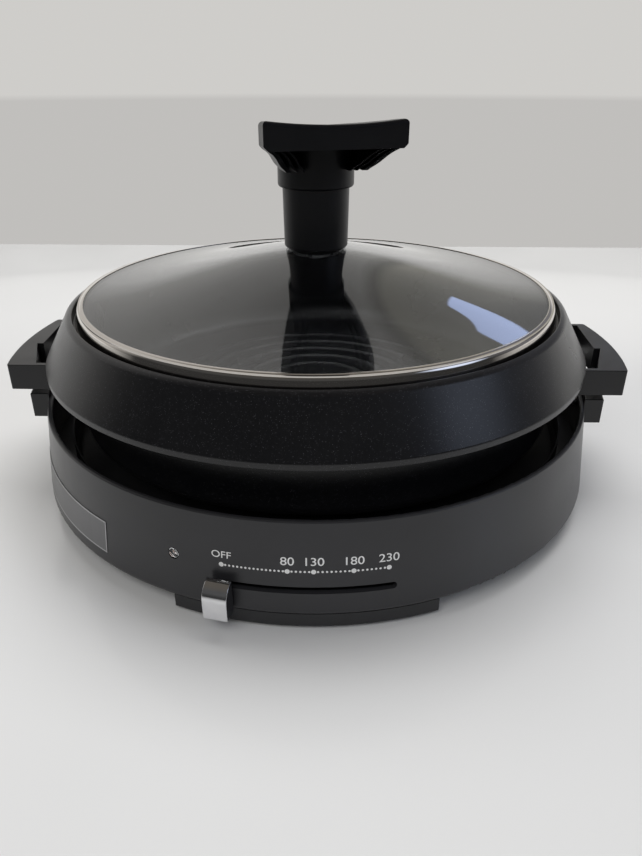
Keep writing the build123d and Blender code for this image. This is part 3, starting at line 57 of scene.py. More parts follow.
def add(tree, kind, sockets=None, **settings):
    """A node with its settings and with values or links on its inputs."""
    node = tree.nodes.new(kind)
    for key, value in settings.items():
        setattr(node, key, value)
    for key, value in (sockets or {}).items():
        if isinstance(value, bpy.types.NodeSocket):
            tree.links.new(value, node.inputs[key])
        else:
            node.inputs[key].default_value = value
    return node


def maths(tree, operation, *values):
    """The result of a calculation on values or sockets."""
    return add(tree, "ShaderNodeMath", dict(enumerate(values)), operation=operation).outputs[0]


def between(tree, value, start, stop):
    """0 at start, 1 at stop and evenly between them; a stop below the start counts downwards."""
    spread = add(tree, "ShaderNodeMapRange", {"Value": value, "From Min": start, "From Max": stop})
    return spread.outputs["Result"]


def moulding_grain_group():
    """Fine texture of a moulded skin, and the slow patches of a surface that hands have touched."""
    group, start, end = new_group(
        "moulding_grain",
        [
            ("Vector", "NodeSocketVector"),
            ("Grain Scale", "NodeSocketFloat"),
            ("Patch Scale", "NodeSocketFloat"),
        ],
        ["Height", "Patch"],
    )
    grain = add(group, "ShaderNodeTexNoise", {
        "Vector": start.outputs["Vector"], "Scale": start.outputs["Grain Scale"],
        "Detail": 2.0, "Roughness": 0.55,
    })
    patch = add(group, "ShaderNodeTexNoise", {
        "Vector": start.outputs["Vector"], "Scale": start.outputs["Patch Scale"],
        "Detail": 4.0, "Roughness": 0.6, "Distortion": 0.4,
    })
    group.links.new(grain.outputs["Fac"], end.inputs["Height"])
    group.links.new(between(group, patch.outputs["Fac"], 0.35, 0.65), end.inputs["Patch"])
    return group


MOULDING_GRAIN = moulding_grain_group()


def plain_finish(name, colour, roughness, metallic=0.0):
    """A material of one colour and gloss; gives it with its tree, shader and object coordinates."""
    material = bpy.data.materials.new(name)
    material.use_nodes = True
    tree = material.node_tree
    shader = tree.nodes["Principled BSDF"]
    shader.inputs["Base Color"].default_value = (*colour, 1)
    shader.inputs["Roughness"].default_value = roughness
    shader.inputs["Metallic"].default_value = metallic
    material.diffuse_color = (*colour, 1)
    return material, tree, shader, tree.nodes.new("ShaderNodeTexCoord").outputs["Object"]


def blend_colour(tree, factor, low, high):
    """The colour between low and high that a 0 to 1 value picks; each of the two is a colour or a socket."""
    low, high = (end if isinstance(end, bpy.types.NodeSocket) else (*end, 1) for end in (low, high))
    return add(tree, "ShaderNodeMix", {0: factor, 6: low, 7: high}, data_type="RGBA").outputs[2]


def scale_value(tree, value, low, high):
    """A 0 to 1 value spread over low to high."""
    return add(tree, "ShaderNodeMapRange", {"Value": value, "To Min": low, "To Max": high}).outputs["Result"]


def lay_skin(tree, shader, tone, gloss, height, depth, strength=0.6):
    """Gives a shader a changing tone and gloss and a bump whose depth is in mm."""
    bump = add(tree, "ShaderNodeBump", {"Height": height, "Distance": depth * MM, "Strength": strength})
    tree.links.new(tone, shader.inputs["Base Color"])
    tree.links.new(gloss, shader.inputs["Roughness"])
    tree.links.new(bump.outputs["Normal"], shader.inputs["Normal"])


def moulded(name, low, high, rough_low, rough_high, grain=2600, depth=0.02, patch=22):
    """Moulded plastic or rubber: patchy tone and gloss over a fine grain. Depth in mm."""
    material, tree, shader, where = plain_finish(name, low, rough_low)
    scales = {"Vector": where, "Grain Scale": grain, "Patch Scale": patch}
    skin = add(tree, "ShaderNodeGroup", scales, node_tree=MOULDING_GRAIN)
    tone = blend_colour(tree, skin.outputs["Patch"], low, high)
    gloss = scale_value(tree, skin.outputs["Patch"], rough_low, rough_high)
    lay_skin(tree, shader, tone, gloss, skin.outputs["Height"], depth)
    return material


def dress(material, *nodes):
    """Gives CAD nodes a finish."""
    for node in nodes:
        mesh = cad[node].data
        mesh.materials.clear()
        mesh.materials.append(material)


HOUSING_BLACK = moulded("housing_black", (0.024, 0.024, 0.026), (0.030, 0.030, 0.033), 0.30, 0.37)
dress(HOUSING_BLACK, "base_housing", "lamp_holder")


# Bottom cover: black moulding with air slots and a raised front skirt under the controls.
# It closes the base from below and carries the feet.
# Four screws fix it to the bosses of the housing.

COVER_BLACK = moulded("cover_black", (0.020, 0.020, 0.021), (0.028, 0.028, 0.030), 0.42, 0.52, depth=0.03)
dress(COVER_BLACK, "bottom_cover")


# Rubber feet: four turned feet of soft black rubber with stems.
# The stems are pushed through holes in the cover and hold by their heads.

FOOT_RUBBER = moulded("foot_rubber", (0.028, 0.028, 0.028), (0.045, 0.044, 0.043), 0.72, 0.85,
                      grain=1800, depth=0.05)
dress(FOOT_RUBBER, "rubber_feet")


# Screws and small steel parts: zinc plated steel with a thin bluish film.
# Cover, handles and pan are held by the same kind of pan-head screw.

RING_DRIFT = 0.002
BAND_SHARE = 0.12


def turning_marks_group():
    """Fine rings about the upright axis, as spinning, rolling or turning leaves them."""
    group, start, end = new_group(
        "turning_marks", [("Vector", "NodeSocketVector"), ("Scale", "NodeSocketFloat")], ["Height", "Band"],
    )
    parts = add(group, "ShaderNodeSeparateXYZ", {0: start.outputs["Vector"]})
    flat = add(group, "ShaderNodeCombineXYZ", {"X": parts.outputs["X"], "Y": parts.outputs["Y"]})
    reach = add(group, "ShaderNodeVectorMath", {0: flat.outputs[0]}, operation="LENGTH")
    turn = maths(group, "ARCTAN2", parts.outputs["Y"], parts.outputs["X"])
    slow_turn = maths(group, "MULTIPLY", turn, RING_DRIFT)
    place = add(group, "ShaderNodeCombineXYZ", {
        "X": reach.outputs["Value"], "Y": parts.outputs["Z"], "Z": slow_turn,
    })
    fine = add(group, "ShaderNodeTexNoise", {
        "Vector": place.outputs[0], "Scale": start.outputs["Scale"], "Detail": 3.0, "Roughness": 0.6,
    })
    coarser = maths(group, "MULTIPLY", start.outputs["Scale"], BAND_SHARE)
    band = add(group, "ShaderNodeTexNoise", {"Vector": place.outputs[0], "Scale": coarser, "Detail": 1.0})
    group.links.new(fine.outputs["Fac"], end.inputs["Height"])
    group.links.new(band.outputs["Fac"], end.inputs["Band"])
    return group


TURNING_MARKS = turning_marks_group()


def spun_metal(name, low, high, rough_low, rough_high, scale=2600, depth=0.004):
    """Bare metal with fine rings about the axis."""
    material, tree, shader, where = plain_finish(name, low, rough_low, 1.0)
    marks = add(tree, "ShaderNodeGroup", {"Vector": where, "Scale": scale}, node_tree=TURNING_MARKS)
    tone = blend_colour(tree, marks.outputs["Band"], low, high)
    gloss = scale_value(tree, marks.outputs["Height"], rough_low, rough_high)
    lay_skin(tree, shader, tone, gloss, marks.outputs["Height"], depth, 0.5)
    return material


def rough_metal(name, low, high, rough_low, rough_high, grain=900, depth=0.01, patch=160):
    """Plated, stamped or cast metal: patchy tone over a fine grain."""
    material = moulded(name, low, high, rough_low, rough_high, grain, depth, patch)
    material.node_tree.nodes["Principled BSDF"].inputs["Metallic"].default_value = 1.0
    return material


ZINC_STEEL = rough_metal("zinc_steel", (0.50, 0.51, 0.53), (0.66, 0.66, 0.66), 0.24, 0.38)
dress(ZINC_STEEL, "cover_screws", "base_handle_screws", "pan_screws", "pot_handle_screws", "control_arm",
      "arm_nut", "heater_terminals", "heater_supports", "thermostat_rivets", "inlet_keepers", "knob_washer",
      "knob_screw")


# Base handles: two short black lips of heat-resistant plastic.
# Each is a block that follows the wall, held by two screws from inside.

SHARP_ANGLE = 32
FLAT_ANGLE = 0.6
MERGE_GAP = 0.002


def softened(node, name, width, material, body):
    """A merged copy of a CAD node whose edges are rounded a little, as a moulding's edges are."""
    mesh = cad[node].data.copy()
    mesh.materials.clear()
    mesh.materials.append(material)
    bm = bmesh.new()
    bm.from_mesh(mesh)
    bmesh.ops.remove_doubles(bm, verts=bm.verts, dist=MERGE_GAP * MM)
    bmesh.ops.dissolve_degenerate(bm, edges=bm.edges, dist=MERGE_GAP * MM)
    bmesh.ops.dissolve_limit(bm, angle_limit=math.radians(FLAT_ANGLE), verts=bm.verts, edges=bm.edges)
    bm.to_mesh(mesh)
    bm.free()
    mesh.name = name
    piece = bpy.data.objects.new(name, mesh)
    bpy.context.scene.collection.objects.link(piece)
    smooth(piece, SHARP_ANGLE)
    edge = piece.modifiers.new("rounded edges", "BEVEL")
    edge.width = width * MM
    edge.segments = 3
    edge.limit_method = "ANGLE"
    edge.angle_limit = math.radians(SHARP_ANGLE)
    edge.miter_outer = "MITER_ARC"
    even_shading(piece)
    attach(piece, body)
    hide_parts(node)


def smooth(piece, angle):
    """Smooth shading with crisp edges above an angle in degrees."""
    mesh = piece.data
    if mesh.has_custom_normals:
        with bpy.context.temp_override(object=piece, active_object=piece, selected_objects=[piece]):
            bpy.ops.mesh.customdata_custom_splitnormals_clear()
    mesh.shade_smooth()
    mesh.set_sharp_from_angle(angle=math.radians(angle))


def even_shading(piece):
    """Keeps broad faces flat where they run into small rounded edges."""
    even = piece.modifiers.new("even shading", "WEIGHTED_NORMAL")
    even.keep_sharp = True


HANDLE_BLACK = moulded("handle_black", (0.008, 0.008, 0.009), (0.012, 0.012, 0.013), 0.32, 0.42,
                       grain=1900, depth=0.03)
softened("base_handle_right", "base_lip_right", 0.5, HANDLE_BLACK, "base")
softened("base_handle_left", "base_lip_left", 0.5, HANDLE_BLACK, "base")


# Temperature scale: white ink, pad printed on the front wall above the lever's slot.
# Five large dots carry OFF and four temperatures, with small dots between them.

DIAL_DOT_Z = 31.0
DIAL_TEXT_Z = 35.6
DIAL_TEXT_H = 3.8
DIAL_OFF_H = 3.2
DIAL_STRETCH = 1.12
CAPITAL_SHARE = 0.70
STROKE_SHARE = 0.010
DIAL_MARKS = (("OFF", -13.3, 15), ("80", -2.75, 5), ("130", 1.35, 8), ("180", 7.6, 7), ("230", 13.2, 0))
BIG_DOT_R = 1.1
SMALL_DOT_R = 0.5
DOT_SIDES = 20
INK_LIFT = 0.1
WALL_FOOT = (155.9, 9.0)
WALL_TOP = (151.1, 54.1)


def wall_radius(z):
    """Outer radius of the base wall at a height, in mm."""
    (low_r, low_z), (top_r, top_z) = WALL_FOOT, WALL_TOP
    return low_r + (top_r - low_r) * (z - low_z) / (top_z - low_z)


def wrap_on_wall(bm, azimuth, height, lift):
    """Lays a flat drawing in mm on the base wall, its origin at an azimuth from the front and a height."""
    for vert in bm.verts:
        z = height + vert.co.y
        reach = wall_radius(z) + lift + vert.co.z
        angle = math.radians(azimuth) + vert.co.x / wall_radius(height)
        vert.co = Vector((reach * math.sin(angle), -reach * math.cos(angle), z)) * MM


def make_piece(name, bm, material, body):
    """A mesh piece that rides on a body."""
    mesh = bpy.data.meshes.new(name)
    bm.to_mesh(mesh)
    bm.free()
    mesh.materials.append(material)
    piece = bpy.data.objects.new(name, mesh)
    bpy.context.scene.collection.objects.link(piece)
    smooth(piece, SHARP_ANGLE)
    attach(piece, body)
    return piece


def flat_text(words, height, stretch):
    """Words as a flat bmesh in mm, centred on the origin, as tall as asked and stretched sideways."""
    curve = bpy.data.curves.new("words", "FONT")
    curve.body = words
    curve.align_x, curve.align_y = "CENTER", "CENTER"
    curve.size = height / CAPITAL_SHARE
    curve.offset = STROKE_SHARE * height
    holder = bpy.data.objects.new("words", curve)
    bpy.context.scene.collection.objects.link(holder)
    bpy.context.view_layer.update()
    mesh = bpy.data.meshes.new_from_object(holder.evaluated_get(bpy.context.evaluated_depsgraph_get()))
    bm = bmesh.new()
    bm.from_mesh(mesh)
    bmesh.ops.scale(bm, verts=bm.verts, vec=(stretch, 1, 1))
    bpy.data.objects.remove(holder)
    bpy.data.meshes.remove(mesh)
    bpy.data.curves.remove(curve)
    return bm


def merge(whole, part):
    """Adds a bmesh to another one and frees it."""
    carry = bpy.data.meshes.new("carry")
    part.to_mesh(carry)
    part.free()
    whole.from_mesh(carry)
    bpy.data.meshes.remove(carry)


def dot_row():
    """The row of large and small dots, as one bmesh on the wall."""
    row = bmesh.new()
    places = []
    for (_, start, count), (_, stop, _) in zip(DIAL_MARKS, DIAL_MARKS[1:]):
        places.append((start, BIG_DOT_R))
        places += [(start + (stop - start) * (i + 1) / (count + 1), SMALL_DOT_R) for i in range(count)]
    places.append((DIAL_MARKS[-1][1], BIG_DOT_R))
    for azimuth, radius in places:
        dot = bmesh.new()
        bmesh.ops.create_circle(dot, cap_ends=True, segments=DOT_SIDES, radius=radius)
        wrap_on_wall(dot, azimuth, DIAL_DOT_Z, INK_LIFT)
        merge(row, dot)
    return row


WHITE_INK = moulded("white_ink", (0.86, 0.86, 0.85), (0.92, 0.92, 0.91), 0.45, 0.55, grain=3500, depth=0.01)
scale_print = dot_row()
for words, azimuth, _ in DIAL_MARKS:
    text = flat_text(words, DIAL_OFF_H if words == "OFF" else DIAL_TEXT_H, DIAL_STRETCH)
    wrap_on_wall(text, azimuth, DIAL_TEXT_Z, INK_LIFT)
    merge(scale_print, text)
make_piece("temperature_scale", scale_print, WHITE_INK, "base")


# Label: a blank self-adhesive sheet of satin silver foil on the left of the wall.
# A thin bright line runs round its edge.

LABEL_FOIL = rough_metal("label_foil", (0.18, 0.18, 0.185), (0.23, 0.23, 0.235), 0.34, 0.44,
                         grain=1500, patch=60)
LABEL_MIDDLE = (53.45, 24.45)
LABEL_HALF = (16.55, 8.15)
LABEL_MARGIN = 0.7
LABEL_WALL_R = 154.0
LABEL_LINE = (0.48, 0.48, 0.49)


def off_middle(tree, value, middle):
    """How far a value is from the middle of its range."""
    return maths(tree, "ABSOLUTE", maths(tree, "SUBTRACT", value, middle))


def add_label_line():
    """Draws the bright line round the label, by its angle about the base and its height."""
    tree = LABEL_FOIL.node_tree
    shader = tree.nodes["Principled BSDF"]
    place = add(tree, "ShaderNodeSeparateXYZ", {0: tree.nodes["Texture Coordinate"].outputs["Object"]})
    back = maths(tree, "MULTIPLY", place.outputs["Y"], -1.0)
    left = maths(tree, "MULTIPLY", place.outputs["X"], -1.0)
    turn = off_middle(tree, maths(tree, "ARCTAN2", left, back), math.radians(LABEL_MIDDLE[0]))
    rise = off_middle(tree, place.outputs["Z"], LABEL_MIDDLE[1] * MM)
    ends = maths(tree, "GREATER_THAN", turn, math.radians(LABEL_HALF[0]) - LABEL_MARGIN / LABEL_WALL_R)
    sides = maths(tree, "GREATER_THAN", rise, (LABEL_HALF[1] - LABEL_MARGIN) * MM)
    ground = shader.inputs["Base Color"].links[0].from_socket
    line = blend_colour(tree, maths(tree, "MAXIMUM", ends, sides), ground, LABEL_LINE)
    tree.links.new(line, shader.inputs["Base Color"])


add_label_line()
dress(LABEL_FOIL, "rating_label")


# Temperature lever: black moulded core with a bright chromed cap that is clipped over it.
# The arm behind it swings with the thermostat's spindle; a nut holds it there.

LEVER_CHROME = rough_metal("lever_chrome", (0.78, 0.78, 0.80), (0.86, 0.86, 0.87), 0.05, 0.10,
                           grain=300, depth=0.002)
LEVER_BLACK = moulded("lever_black", (0.020, 0.020, 0.022), (0.028, 0.028, 0.030), 0.38, 0.46)
dress(LEVER_BLACK, "slider_knob")
softened("slider_knob_cap", "lever_cap", 0.25, LEVER_CHROME, "temperature_lever")


# Pilot lamp: a clear polycarbonate lens over a small neon lamp.
# Both sit in a black holder behind the hole in the wall.

CLEAR_LENS = moulded("clear_lens", (0.88, 0.90, 0.92), (0.80, 0.82, 0.84), 0.06, 0.14, grain=1400, depth=0.05)
lens_shader = CLEAR_LENS.node_tree.nodes["Principled BSDF"]
lens_shader.inputs["Transmission Weight"].default_value = 1.0
lens_shader.inputs["IOR"].default_value = 1.58
dress(CLEAR_LENS, "pilot_lens")
LAMP_BULB = moulded("lamp_bulb", (0.62, 0.40, 0.32), (0.72, 0.52, 0.44), 0.10, 0.20)
dress(LAMP_BULB, "pilot_lamp")


# Heat pan: sheet steel pressed into a shallow tray, coloured near black as painted shade for the dark gap
# between the pot and the base wall.
# Four screws hold it on the shelf of the housing.

# The pan's near-black colour is painted shade: it stands for the dark gap round the pot, not for the colour
# of the steel.
PAN_PAINTED_SHADE = moulded("pan_black", (0.010, 0.010, 0.011), (0.016, 0.016, 0.017), 0.38, 0.50,
                    grain=1400, depth=0.04)
dress(PAN_PAINTED_SHADE, "heat_pan")


# Heating tube: a bent tube of annealed steel, straw and blue from its first heat.
# Ceramic bushes carry its ends through the pan and flat tabs take its wires.

HEATER_SHEATH = rough_metal("heater_sheath", (0.20, 0.17, 0.15), (0.36, 0.32, 0.29), 0.36, 0.5, patch=45)
dress(HEATER_SHEATH, "heater_element")
CERAMIC = moulded("ceramic", (0.74, 0.71, 0.65), (0.84, 0.81, 0.76), 0.55, 0.7, grain=1200, depth=0.04)
dress(CERAMIC, "heater_bushes")


# Thermostat: a pale steatite body with brass terminals and a brass spindle.
# The sprung aluminium cup over it presses up against the pot's bottom.

THERMOSTAT_CASE = moulded("thermostat_case", (0.66, 0.63, 0.56), (0.76, 0.73, 0.66), 0.5, 0.65, depth=0.03)
dress(THERMOSTAT_CASE, "thermostat_body")
BRASS = rough_metal("brass", (0.60, 0.43, 0.18), (0.74, 0.56, 0.28), 0.22, 0.34)
dress(BRASS, "thermostat_spindle", "thermostat_tabs", "inlet_contacts", "knob_insert")
CUP_ALUMINIUM = spun_metal("cup_aluminium", (0.58, 0.58, 0.59), (0.70, 0.70, 0.71), 0.26, 0.4)
dress(CUP_ALUMINIUM, "sensor_cup")
SPRING_STEEL = rough_metal("spring_steel", (0.34, 0.34, 0.35), (0.46, 0.46, 0.47), 0.22, 0.34)
dress(SPRING_STEEL, "sensor_spring")


# Wiring: copper strands in braided glass sleeves, white.
# They join inlet, fuse, thermostat and heater and are crimped on the tabs.

WIRE_WHITE = moulded("wire_white", (0.66, 0.65, 0.61), (0.78, 0.77, 0.73), 0.7, 0.85, grain=1500, depth=0.12)
dress(WIRE_WHITE, "lead_wires", "lamp_lead", "thermal_fuse")


# Mains inlet at the back: a black moulded socket with two brass pins.
# Two steel keepers hold a magnetic plug.

dress(HANDLE_BLACK, "inlet_housing")


# Pot: a die-cast aluminium bowl under a black non-stick coat, with fine pale flecks that are partly flecks of
# the coat and partly painted glints of its sparkle.
# A wide conical skirt runs round it; the lid rests on a ledge inside the rim.
# Four lugs under the skirt take the handle screws.

def fleck_group():
    """Tiny pale flecks scattered in a coat."""
    group, start, end = new_group(
        "fleck", [("Vector", "NodeSocketVector"), ("Scale", "NodeSocketFloat"), ("Share", "NodeSocketFloat")],
        ["Fleck"],
    )
    cells = add(group, "ShaderNodeTexVoronoi", {
        "Vector": start.outputs["Vector"], "Scale": start.outputs["Scale"], "Randomness": 1.0,
    })
    pick = add(group, "ShaderNodeSeparateColor", {0: cells.outputs["Color"]})
    chosen = maths(group, "LESS_THAN", pick.outputs[0], start.outputs["Share"])
    fleck = maths(group, "MULTIPLY", chosen, between(group, cells.outputs["Distance"], 0.30, 0.12))
    group.links.new(maths(group, "MULTIPLY", fleck, pick.outputs[1]), end.inputs["Fleck"])
    return group


FLECK = fleck_group()
# Grey of the pale flecks, which are partly flecks of the coat and partly painted glints of its sparkle.
FLECK_AND_GLINT_GREY = (0.20, 0.20, 0.22)
FLECK_SCALE = 2300
FLECK_SHARE = 0.30
COAT_GRAIN = 1700
COAT_PATCH = 18
COAT_DEPTH = 0.03


def coated(name, low, high, rough_low, rough_high):
    """Non-stick coat: a satin black with a slightly pebbled skin and fine pale flecks, which are partly real
    flecks and partly painted glints.
    """
    material, tree, shader, where = plain_finish(name, low, rough_low)
    scales = {"Vector": where, "Grain Scale": COAT_GRAIN, "Patch Scale": COAT_PATCH}
    skin = add(tree, "ShaderNodeGroup", scales, node_tree=MOULDING_GRAIN)
    sprinkle = {"Vector": where, "Scale": FLECK_SCALE, "Share": FLECK_SHARE}
    fleck_and_glint = add(tree, "ShaderNodeGroup", sprinkle, node_tree=FLECK)
    ground = blend_colour(tree, skin.outputs["Patch"], low, high)
    # Pale flecks in the base colour: partly real flecks of the coat, partly painted glints of its sparkle.
    tone = blend_colour(tree, fleck_and_glint.outputs["Fleck"], ground, FLECK_AND_GLINT_GREY)
    gloss = scale_value(tree, skin.outputs["Patch"], rough_low, rough_high)
    lay_skin(tree, shader, tone, gloss, skin.outputs["Height"], COAT_DEPTH)
    return material


CORNER_STEPS = 4
JOIN_GAP = 0.0005
TURN_STEPS = 240


def spun(profile, steps):
    """A turned shape from a closed line of (radius, height, corner) points in mm."""
    bm = bmesh.new()
    points = [bm.verts.new((r * MM, 0, z * MM)) for r, z, _ in profile]
    for a, b in zip(points, points[1:] + points[:1]):
        bm.edges.new((a, b))
    for corner in sorted({c for *_, c in profile if c}):
        sharp = [point for point, (*_, size) in zip(points, profile) if size == corner]
        bmesh.ops.bevel(bm, geom=sharp, offset=corner * MM, offset_type="OFFSET", segments=CORNER_STEPS,
                        profile=0.5, affect="VERTICES", material=-1)
    bmesh.ops.spin(bm, geom=bm.verts[:] + bm.edges[:], cent=(0, 0, 0), axis=(0, 0, 1), angle=math.tau,
                   steps=steps, use_merge=True)
    bmesh.ops.remove_doubles(bm, verts=bm.verts, dist=JOIN_GAP * MM)
    bmesh.ops.dissolve_degenerate(bm, edges=bm.edges, dist=JOIN_GAP * MM)
    bmesh.ops.recalc_face_normals(bm, faces=bm.faces)
    return bm


POT_BOTTOM_Z = 41.0
POT_FLOOR_Z = 44.6
POT_WALL_R = 132.0
SKIRT_R = 147.8
SKIRT_Z = 78.9
LIP_Z = 75.8
SKIRT_T = 2.2
SKIRT_ROOT_Z = 97.5
LEDGE_Z = 99.0
RIM_Z = 103.8
RIM_INNER_R = 131.1
LAND_R = 134.2
LAND_DROP = 0.9
INNER_TOP_R = 127.4
INNER_FLOOR_R = 125.8
RIDGE_START_R = 32.0
RIDGE_PITCH = 13.5
RIDGE_COUNT = 5
RIDGE_WIDTH = 6.5
RIDGE_H = 1.0


def pot_line():
    """Closed half section of the pot, with the corner sizes that casting and coating leave."""
    line = [
        (0, POT_BOTTOM_Z, 0),
        (POT_WALL_R, POT_BOTTOM_Z, 7.0),
        (POT_WALL_R, SKIRT_ROOT_Z, 2.0),
        (SKIRT_R - SKIRT_T, SKIRT_Z - SKIRT_T / 2, 1.0),
        (SKIRT_R - SKIRT_T, LIP_Z, 0.5),
        (SKIRT_R, LIP_Z, 0.5),
        (SKIRT_R, SKIRT_Z, 0.5),
        (LAND_R, RIM_Z - LAND_DROP, 1.4),
        (RIM_INNER_R, RIM_Z, 0.8),
        (RIM_INNER_R, LEDGE_Z, 0.5),
        (INNER_TOP_R, LEDGE_Z, 0.8),
        (INNER_FLOOR_R, POT_FLOOR_Z, 12.0),
    ]
    for index in reversed(range(RIDGE_COUNT)):
        middle = RIDGE_START_R + index * RIDGE_PITCH
        line += [
            (middle + RIDGE_WIDTH / 2, POT_FLOOR_Z, 1.0),
            (middle, POT_FLOOR_Z + RIDGE_H, 1.2),
            (middle - RIDGE_WIDTH / 2, POT_FLOOR_Z, 1.0),
        ]
    line.append((0, POT_FLOOR_Z, 0))
    return line


COATED_ALUMINIUM = coated("coated_aluminium", (0.005, 0.005, 0.006), (0.007, 0.007, 0.008), 0.27, 0.33)
pot = make_piece("cast_pot", spun(pot_line(), TURN_STEPS), COATED_ALUMINIUM, "pot")
even_shading(pot)
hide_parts("pot_body")


# Pot handles: two black side grips, each a curved bar with an open finger hole.
# Screws from below hold each web against the lugs of the pot.

softened("pot_handle_right", "side_grip_right", 0.6, HANDLE_BLACK, "pot")
softened("pot_handle_left", "side_grip_left", 0.6, HANDLE_BLACK, "pot")


# Lid ring: a strip of stainless steel, rolled over the glass edge and polished.
# Its hem below drops into the step of the pot's rim.

RING_INNER_R = 125.0
RING_OUTER_R = 128.3
RING_WALL_R = 127.7
RING_HEM_R = 130.0
RING_LIP_R = 124.2
RING_TOP_Z = 107.95
GLASS_LINE_Z = 107.6
GLASS_T = 4.0
RING_ROLL = 2.4
RING_SHEET_T = 0.6
RING_STEP = 0.3


def ring_line():
    """Closed half section of the rolled ring: narrow top, round shoulder, flared skirt, hem and lip."""
    under = GLASS_LINE_Z - GLASS_T - RING_STEP
    hem_z = LEDGE_Z + RING_SHEET_T
    return [
        (RING_INNER_R, GLASS_LINE_Z + 0.05, 0),
        (RING_INNER_R, RING_TOP_Z, 0.1),
        (RING_OUTER_R - RING_STEP, RING_TOP_Z, RING_ROLL),
        (RING_HEM_R - RING_STEP, hem_z + 0.1, 0.15),
        (RING_HEM_R, hem_z, 0.15),
        (RING_HEM_R, LEDGE_Z, 0.25),
        (RING_WALL_R, LEDGE_Z, 0),
        (RING_WALL_R, under - RING_SHEET_T, 0),
        (RING_LIP_R, under - RING_SHEET_T, 0.2),
        (RING_LIP_R, under, 0.2),
        (RING_WALL_R, under, 0),
        (RING_WALL_R, GLASS_LINE_Z, 0),
    ]


STAINLESS = spun_metal("stainless", (0.62, 0.58, 0.54), (0.70, 0.67, 0.63), 0.07, 0.13,
                       scale=1800, depth=0.002)
lid_rim = make_piece("lid_rim", spun(ring_line(), TURN_STEPS), STAINLESS, "lid")
even_shading(lid_rim)
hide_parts("lid_ring")


# Lid glass: smoked tempered glass, pressed into a low dome, with a ground edge.
# The ring is rolled on to it and the knob's screw passes through its middle.

GLASS_RISE = 24.0
GLASS_BELL = 0.45
GLASS_HOLE_R = 5.0
GLASS_EDGE_R = 127.2
GLASS_STEPS = 56
GLASS_TURN_STEPS = 200
GLASS_BEND = 1.52


def glass_z(r):
    """Height of the glass at radius r: part bell, part cone, so that it still slopes under the knob."""
    share = r / RING_INNER_R
    bell, cone = (1 + math.cos(math.pi * share)) / 2, 1 - share
    return GLASS_LINE_Z + GLASS_RISE * (GLASS_BELL * bell + (1 - GLASS_BELL) * cone)


def glass_line():
    """Closed half section of the glass."""
    reach = [GLASS_HOLE_R + (GLASS_EDGE_R - GLASS_HOLE_R) * k / GLASS_STEPS for k in range(GLASS_STEPS + 1)]
    return [(r, glass_z(r), 0) for r in reach] + [(r, glass_z(r) - GLASS_T, 0) for r in reversed(reach)]


SMOKED_GLASS = moulded("smoked_glass", (0.52, 0.53, 0.54), (0.55, 0.56, 0.57), 0.010, 0.022,
                       grain=60, depth=0.004)
GLASS_TINT = (0.62, 0.63, 0.64, 1)


def make_glass(material):
    """Turns a finish into clear glass whose shadow is only as dark as its tint."""
    tree = material.node_tree
    shader = tree.nodes["Principled BSDF"]
    shader.inputs["Transmission Weight"].default_value = 1.0
    shader.inputs["IOR"].default_value = GLASS_BEND
    light_through = add(tree, "ShaderNodeBsdfTransparent", {"Color": GLASS_TINT})
    ray = tree.nodes.new("ShaderNodeLightPath")
    surface = add(tree, "ShaderNodeMixShader", {
        0: ray.outputs["Is Shadow Ray"], 1: shader.outputs[0], 2: light_through.outputs[0],
    })
    tree.links.new(surface.outputs[0], tree.nodes["Material Output"].inputs["Surface"])


make_glass(SMOKED_GLASS)
dome = make_piece("lid_dome", spun(glass_line(), GLASS_TURN_STEPS), SMOKED_GLASS, "lid")
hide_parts("lid_glass")


# Knob: a black column with a T-shaped grip, both moulded in heat-resistant plastic.
# A long screw passes up through glass and column into a brass insert in the grip.
# Silicone gaskets above and below the glass keep it tight.

KNOB_BLACK = moulded("knob_black", (0.003, 0.003, 0.004), (0.005, 0.005, 0.006), 0.36, 0.46,
                     grain=2000, depth=0.02)
KNOB_BLACK.node_tree.nodes["Principled BSDF"].inputs["Specular IOR Level"].default_value = 0.3
dress(KNOB_BLACK, "knob_stem")
softened("knob_grip", "grip", 0.8, KNOB_BLACK, "lid")
SILICONE = moulded("silicone", (0.012, 0.012, 0.012), (0.02, 0.02, 0.02), 0.5, 0.62, grain=1500, depth=0.02)
dress(SILICONE, "knob_gasket", "under_gasket")


# Stage: a pale, glossy table top with small rounded edges.
# Its back edge lies against the light wall of the room.

TABLE_FRONT_Y = -0.9
TABLE_BACK_Y = 0.58
TABLE_HALF = 1.0
TABLE_T = 0.03
TABLE_EDGE = 0.003
TABLE_SHARP_ANGLE = 40
TABLE_TONE = (0.80, 0.80, 0.795)
TABLE_GLOSS = (0.09, 0.15)
TABLE_GRAIN = 300
TABLE_PATCH = 3


def table_slab():
    """The table top as a slab with rounded edges, in metres."""
    bm = bmesh.new()
    bmesh.ops.create_cube(bm, size=1)
    bmesh.ops.scale(bm, verts=bm.verts, vec=(2 * TABLE_HALF, TABLE_BACK_Y - TABLE_FRONT_Y, TABLE_T))
    bmesh.ops.translate(bm, verts=bm.verts, vec=(0, (TABLE_BACK_Y + TABLE_FRONT_Y) / 2, -TABLE_T / 2))
    bmesh.ops.bevel(bm, geom=bm.edges[:], offset=TABLE_EDGE, offset_type="OFFSET", segments=3, profile=0.5,
                    affect="EDGES", material=-1)
    return bm


